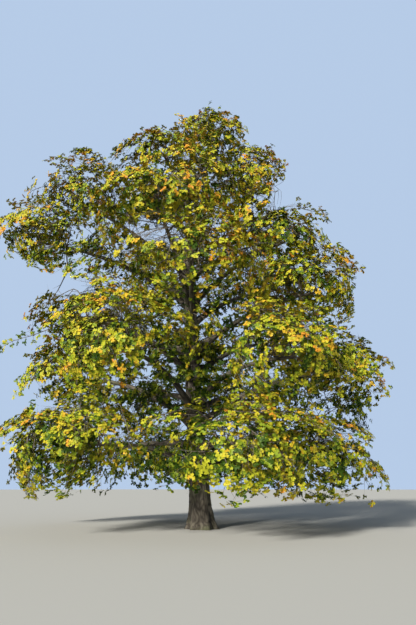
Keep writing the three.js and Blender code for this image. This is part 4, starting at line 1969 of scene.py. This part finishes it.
class BarkBuilder:
    """Builds the trunk and the limbs as closed tubes with the relief of the bark."""

    def __init__(self, crown: Crown, shelf: Shelf, relief: BarkRelief) -> None:
        """Keeps what it builds from.

        Args:
            crown: The trunk and the limbs.
            shelf: Makes the pieces.
            relief: The bark's fissures.
        """
        self.crown = crown
        self.shelf = shelf
        self.relief = relief

    @staticmethod
    def cylinder(name: str, sides: int, rounds: tuple[int, ...]) -> bpy.types.Object:
        """A closed unit cylinder from z 0 to 1, divided along its length.

        Args:
            name: The object's name.
            sides: How many sides it has.
            rounds: Into how many parts each length is divided, round after round.

        Returns:
            The object.
        """
        bpy.ops.object.select_all(action="DESELECT")
        bpy.ops.mesh.primitive_cylinder_add(vertices=sides, radius=1, depth=1, end_fill_type="TRIFAN",
                                            location=(0, 0, 0.5))
        piece = bpy.context.object
        bpy.ops.object.transform_apply(location=True)
        piece.name = piece.data.name = name
        bpy.context.scene.tool_settings.mesh_select_mode = (False, True, False)
        for parts in rounds:
            mesh = piece.data
            for part in (*mesh.vertices, *mesh.edges, *mesh.polygons):
                part.select = False
            for edge in mesh.edges:
                low, high = (mesh.vertices[v].co.z for v in edge.vertices)
                edge.select = abs(high - low) > 1e-5
            bpy.ops.object.mode_set(mode="EDIT")
            bpy.ops.mesh.subdivide(number_cuts=parts - 1)
            bpy.ops.object.mode_set(mode="OBJECT")
        return piece

    def tube(self, name: str, line: TrunkLine | LimbLine) -> bpy.types.Object:
        """A tube along a line with bark on it.

        Args:
            name: The object's name.
            line: Its axis, its girth and how its rings lie.

        Returns:
            The object, with its place in its mesh.
        """
        piece = self.cylinder(name, line.sides, line.rounds)
        unit_points = np.empty(len(piece.data.vertices) * 3)
        piece.data.vertices.foreach_get("co", unit_points)
        x, y, share = unit_points.reshape(-1, 3).T
        angle, outwards = np.arctan2(y, x), np.hypot(x, y)
        side, up = line.rings(share)
        size = line.girth(share, angle)
        places = np.stack([np.cos(angle) * size, np.sin(angle) * size, share * line.length], axis=-1)
        relief = self.relief.fissures(places)
        swell = np.array([noise.noise(Vector(place) / self.relief.swell_width) for place in places])
        depth = np.minimum(self.relief.depth, self.relief.most * size)
        size = size * (1 + self.relief.swell * swell) + depth * (relief - self.relief.level)
        offset = side * np.cos(angle)[:, None] + up * np.sin(angle)[:, None]
        points = line.axis(share) + offset * (size * outwards)[:, None]
        piece.data.vertices.foreach_set("co", points.ravel())
        for attribute, kind, key, values in (("bark_place", "FLOAT_VECTOR", "vector", places.ravel()),
                                             ("bark_relief", "FLOAT", "value", relief)):
            piece.data.attributes.new(attribute, kind, "POINT").data.foreach_set(key, values)
        for face in piece.data.polygons:
            face.use_smooth = True
        piece.data.materials.append(self.shelf.bark)
        piece.data.update()
        return piece

    def trunk(self) -> None:
        """The trunk, flat at the ground and drawn to a blunt tip at its top."""
        piece = self.tube("bark_trunk", TrunkLine(self.crown.layout.trunk))
        self.shelf.keep(piece, "bark", ["trunk"])

    def limbs(self, tier: Tier) -> None:
        """The limbs of a tier, from inside the trunk to the cores of their masses, as one piece.

        Args:
            tier: The tier.
        """
        masses = [mass for mass in self.crown.masses if mass.tier is tier]
        tubes = [self.tube(f"limb_{mass.name}", LimbLine(mass.limb)) for mass in masses]
        bpy.ops.object.select_all(action="DESELECT")
        for tube in tubes:
            tube.select_set(True)
        bpy.context.view_layer.objects.active = tubes[0]
        bpy.ops.object.join()
        piece = bpy.context.object
        piece.name = piece.data.name = f"bark_{tier.name}_limbs"
        kinds = ("foliage",) if tier.on_trunk else ("bough", "foliage")
        self.shelf.keep(piece, "bark", [f"{kind}_{mass.name}" for kind in kinds for mass in masses])


@dataclass(frozen=True)
class Studio:
    """The camera where the photograph was taken from, a plain pale floor and soft light."""

    pitch: float = 19.65
    lens: float = 28.0
    sensor: float = 36.0
    floor_radius: float = 260.0
    floor_colour: Triple = (0.4, 0.4, 0.39)
    floor_roughness: float = 0.9
    sky_colour: Triple = (0.7, 0.84, 1.0)
    sky_strength: float = 0.36
    backdrop_radius: float = 250.0
    backdrop_colour: Triple = (0.47, 0.6, 0.8)
    sun_strength: float = 9.2
    sun_azimuth: float = -30.0
    sun_height: float = 21.0
    sun_softness: float = 8.0
    sun_colour: Triple = (1.0, 0.95, 0.84)

    def build(self) -> None:
        """Sets up camera, floor and lights."""
        self.camera()
        self.floor()
        self.backdrop()
        self.light()

    def camera(self) -> None:
        """The camera."""
        data = bpy.data.cameras.new("camera")
        data.lens, data.sensor_width = self.lens, self.sensor
        data.clip_end = 2 * self.floor_radius
        camera = bpy.data.objects.new("camera", data)
        camera.location = EYE
        camera.rotation_euler = (math.radians(90 + self.pitch), 0, 0)
        bpy.context.scene.collection.objects.link(camera)
        bpy.context.scene.camera = camera

    def floor(self) -> None:
        """The floor."""
        bpy.ops.object.select_all(action="DESELECT")
        bpy.ops.mesh.primitive_circle_add(vertices=96, radius=self.floor_radius, fill_type="NGON")
        floor = bpy.context.object
        floor.name = "floor"
        floor.data.materials.append(Nodes("floor_paint").finish({
            "Base Color": self.floor_colour, "Roughness": self.floor_roughness, "Specular IOR Level": 0.0}))

    def backdrop(self) -> None:
        """The plain pale backdrop all round, which neither lights the tree nor keeps light from it."""
        bpy.ops.object.select_all(action="DESELECT")
        bpy.ops.mesh.primitive_uv_sphere_add(segments=64, ring_count=32, radius=self.backdrop_radius)
        backdrop = bpy.context.object
        backdrop.name = "backdrop"
        backdrop.data.materials.append(Nodes("backdrop_paint").finish({
            "Base Color": (0.0, 0.0, 0.0), "Specular IOR Level": 0.0, "Emission Color": self.backdrop_colour,
            "Emission Strength": 1.0}))
        backdrop.visible_diffuse = backdrop.visible_glossy = backdrop.visible_shadow = False

    def light(self) -> None:
        """The soft key light and the pale light from all round."""
        data = bpy.data.lights.new("key", "SUN")
        data.energy, data.color = self.sun_strength, self.sun_colour
        data.angle = math.radians(self.sun_softness)
        lamp = bpy.data.objects.new("key", data)
        azimuth, height = math.radians(self.sun_azimuth), math.radians(self.sun_height)
        towards = Vector((math.sin(azimuth) * math.cos(height), -math.cos(azimuth) * math.cos(height),
                          math.sin(height)))
        lamp.rotation_mode = "QUATERNION"
        lamp.rotation_quaternion = towards.to_track_quat("Z", "Y")
        bpy.context.scene.collection.objects.link(lamp)
        world = bpy.data.worlds.new("sky")
        bpy.context.scene.world = world
        world.use_nodes = True
        background = world.node_tree.nodes["Background"]
        background.inputs["Color"].default_value = (*self.sky_colour, 1.0)
        background.inputs["Strength"].default_value = self.sky_strength
        bpy.context.scene.view_settings.view_transform = "Standard"


class Thicket:
    """How many leaves hide a place from the side on which the fewest do, counted by cells out to reach."""

    cell = 0.35
    reach = 5.6

    def __init__(self, tips: Array, leaves: Array) -> None:
        """Counts the leaves in cells.

        Args:
            tips: Where the sprays are.
            leaves: How many leaves each has.
        """
        self.low = tips.min(axis=0) - self.cell
        index = ((tips - self.low) / self.cell).astype(int)
        self.counts = np.zeros(index.max(axis=0) + 2)
        np.add.at(self.counts, tuple(index.T), leaves)

    def cover(self, places: Array) -> Array:
        """The number of leaves before each place, counted along the most open of 26 ways out.

        Args:
            places: The places.

        Returns:
            The numbers.
        """
        steps = np.arange(self.cell / 2, self.reach, self.cell)
        least = np.full(len(places), np.inf)
        for corner in np.ndindex(3, 3, 3):
            way = np.array(corner) - 1.0
            if not way.any():
                continue
            along = places[:, None] + unit(way) * steps[:, None]
            index = ((along - self.low) / self.cell).astype(int)
            index = np.clip(index, 0, np.array(self.counts.shape) - 1)
            least = np.minimum(least, self.counts[tuple(np.moveaxis(index, -1, 0))].sum(axis=1))
        return least


class Tree:
    """Puts the tree together: its bark, and the twigs and leaves of each tier.

    The sides are those of the twigs' tubes.
    """

    stem_sides = 5
    axis_sides = 4
    twig_sides = 3

    def __init__(self) -> None:
        """Lays out the crown and makes the materials."""
        self.crown = Crown(Layout())
        self.shelf = Shelf()
        self.foliage: list[tuple[Foliage, Sprays]] = []
        self.tubes: list[tuple[Tubes, int]] = []

    def bark(self) -> None:
        """The trunk and the limbs of every tier."""
        builder = BarkBuilder(self.crown, self.shelf, BarkRelief())
        builder.trunk()
        for tier in TIERS:
            builder.limbs(tier)

    def grow(self, rule: TwigRule, plan: SprigPlan) -> None:
        """Grows twigs by a rule and unfolds their sprigs by a plan.

        Args:
            rule: The rule that the twigs follow.
            plan: How their sprigs unfold.
        """
        twigs, sprigs = self.crown.grow(rule)
        points = np.stack([twig.at(np.linspace(0, 1, rule.rings)) for twig in twigs])
        owner = np.array([twig.mass for twig in twigs])
        stems = Tubes.tapered(points, (rule.twig_radius, rule.twig_radius / 2), Rank.STEM, owner)
        self.tubes.append((stems, self.stem_sides))
        self.unfold(sprigs, plan, in_mass=True)

    def shoot(self, rule: ShootRule, plan: SprigPlan) -> None:
        """Grows the shoots on the bare wood and unfolds them by a plan."""
        self.unfold(self.crown.shoots(rule), plan, in_mass=False)

    def run(self, plan: SprigPlan) -> None:
        """Grows the branches that reach out of their masses.

        Args:
            plan: How their sprigs unfold and their leaves lie.
        """
        numbers = {mass.name: number for number, mass in enumerate(self.crown.masses)}
        for seed, runner in enumerate(RUNNERS, RUNNER_SEED):
            number = numbers[runner.mass]
            stem = runner.stem(self.crown.masses[number].limb)
            twigs, way = runner.side_twigs(stem, seed)
            owner = np.full(runner.twigs, number)
            radii = (runner.radius, runner.radius / runner.thinning)
            self.tubes += [(Tubes.tapered(stem, radii, Rank.STEM, owner[:1]), self.stem_sides),
                           (Tubes.tapered(twigs, runner.side_radii, Rank.SIDE_TWIG, owner), self.twig_sides)]
            seeds = seed * SPRAY_SEEDS + np.arange(runner.twigs)
            face = on_plane(np.broadcast_to(np.array(runner.face), way.shape), way)
            if runner.bears is Bears.SPRAYS:
                ripeness = spread(seeds, SprigDraw.SPRAY_RIPENESS)
                sprays = Sprays(twigs[:, 2], way, face, seeds, owner, ripeness, np.ones(runner.twigs))
                self.foliage.append((Foliage(self.crown, plan, LeafShape().model()), sprays))
            if runner.bears is Bears.SPRIGS:
                size = 1 + runner.sprig_toss * spread(seeds, SprigDraw.SIZE)
                length, width = runner.sprig_length * size, runner.sprig_width * size
                self.unfold(Sprigs(twigs[:, 2], way, face, length, width, seeds, owner), plan, in_mass=False)

    def unfold(self, sprigs: Sprigs, plan: SprigPlan, in_mass: bool) -> None:
        """Unfolds sprigs by a plan, as far as their sprays stay.

        Args:
            sprigs: The sprigs.
            plan: How they unfold.
            in_mass: Whether they grow in their masses and keep to them.
        """
        foliage = Foliage(self.crown, plan, LeafShape().model())
        (axes, sides, twiglets), sprays = foliage.unfold(sprigs)
        keep = foliage.settle(sprays, in_mass)
        if in_mass:
            keep &= foliage.within(sprays)
        on_twiglet, on_side, on_axis = np.split(keep, np.cumsum([len(twiglets.mass), len(sides.mass)]))
        held = (on_twiglet.reshape(-1, plan.twiglets).any(axis=1) | on_side).reshape(-1, plan.side_twigs)
        last = np.max(held * np.arange(1, plan.side_twigs + 1), axis=1) / plan.side_twigs
        share = np.where(on_axis, 1.0, plan.first_foot + (plan.last_foot - plan.first_foot) * last)
        axes = axes.shortened(share).chosen(held.any(axis=1))
        self.tubes += [(axes, self.axis_sides), (sides.chosen(held.ravel()), self.twig_sides),
                       (twiglets.chosen(on_twiglet), self.twig_sides)]
        sprays = sprays.chosen(keep & ~foliage.is_open(sprays))
        self.foliage.append((foliage, sprays))
        LOG.info("%d sprigs and %d sprays", len(sprigs.seed), len(sprays.seed))

    def shed(self, limit: int) -> None:
        """Leaves out the leaves that lie deepest behind others, and the twiglets that would hold them.

        Args:
            limit: About how many leaves stay, with the missing ones of each spray.
        """
        tips = np.concatenate([sprays.tip for _, sprays in self.foliage])
        leaves = [np.full(len(sprays.seed), foliage.plan.leaves) for foliage, sprays in self.foliage]
        leaves = np.concatenate(leaves)
        thicket = Thicket(tips, leaves)
        cover = thicket.cover(tips)
        order = np.argsort(cover, kind="stable")
        last = min(np.searchsorted(np.cumsum(leaves[order]), limit), len(order) - 1)
        most = cover[order[last]]
        for n, (foliage, sprays) in enumerate(self.foliage):
            self.foliage[n] = foliage, sprays.chosen(thicket.cover(sprays.tip) <= most)
        for n, (tubes, sides) in enumerate(self.tubes):
            open_tip = thicket.cover(tubes.points[:, -1]) <= most
            self.tubes[n] = tubes.chosen((tubes.ranks < Rank.TWIGLET) | open_tip), sides
        stay = leaves[cover <= most].sum()
        LOG.info("%d of %d leaves stay, with up to %d before them", stay, leaves.sum(), most)

    def numbers(self, tier: Tier) -> list[int]:
        """The numbers of a tier's masses."""
        return [number for number, mass in enumerate(self.crown.masses) if mass.tier is tier]

    def nodes(self, numbers: list[int]) -> list[str]:
        """The names of the solids of these masses."""
        return [f"foliage_{self.crown.masses[number].name}" for number in numbers]

    def twigs(self, tier: Tier) -> None:
        """The twigs of a tier as one piece.

        Args:
            tier: The tier.
        """
        numbers = self.numbers(tier)
        parts = [tube.mesh(np.isin(tube.mass, numbers), sides) for tube, sides in self.tubes]
        points, faces, ranks = zip(*parts)
        starts = np.cumsum([0] + [len(part) for part in points])
        faces = [part + start for part, start in zip(faces, starts)]
        piece = self.shelf.mesh(f"twigs_{tier.name}", np.concatenate(points), np.concatenate(faces),
                                np.concatenate(ranks), self.shelf.twig_materials)
        self.shelf.keep(piece, "bark", self.nodes(numbers))

    def leaves(self, tier: Tier, pieces: int) -> None:
        """The leaves of a tier, shared out over a few pieces.

        Args:
            tier: The tier.
            pieces: How many pieces to make.
        """
        ripeness = [sprays.ripeness for _, sprays in self.foliage]
        tints = np.split(tint_of(np.concatenate(ripeness)), np.cumsum([len(part) for part in ripeness])[:-1])
        one = self.foliage[0][0].leaf_faces
        for part, own in enumerate(np.array_split(self.numbers(tier), pieces), 1):
            points, colours = [], []
            for (foliage, sprays), tint in zip(self.foliage, tints):
                mine = np.isin(sprays.mass, own)
                leaf, owner, riper = foliage.leaves(sprays.chosen(mine))
                points.append(leaf)
                colours.append(np.clip(tint[mine][owner] + riper, 0, len(LEAF_TINTS) - 1))
            points = np.concatenate(points)
            faces = one[None] + (np.arange(len(points)) * points.shape[1])[:, None, None]
            name, kinds = f"leaves_{tier.name}_{part}", np.repeat(np.concatenate(colours), len(one))
            piece = self.shelf.mesh(name, points.reshape(-1, 3), faces.reshape(-1, 3), kinds,
                                    self.shelf.leaf_materials)
            self.shelf.keep(piece, "foliage", self.nodes(own))


def main() -> None:
    """Builds the tree piece by piece, then the stage."""
    tree = Tree()
    tree.bark()
    tree.grow(TwigRule(), SprigPlan())
    tree.grow(FILL_RULE, FILL_PLAN)
    tree.grow(BRIDGE_RULE, BRIDGE_PLAN)
    tree.shoot(ShootRule(), FILL_PLAN)
    tree.run(SprigPlan())
    tree.shed(LEAF_LIMIT)
    for tier in TIERS:
        tree.twigs(tier)
        tree.leaves(tier, max(1, tier.count // 2))
    Studio().build()


if __name__ == "__main__":
    logging.basicConfig(level=logging.INFO, format="%(name)s %(message)s", force=True)
    main()
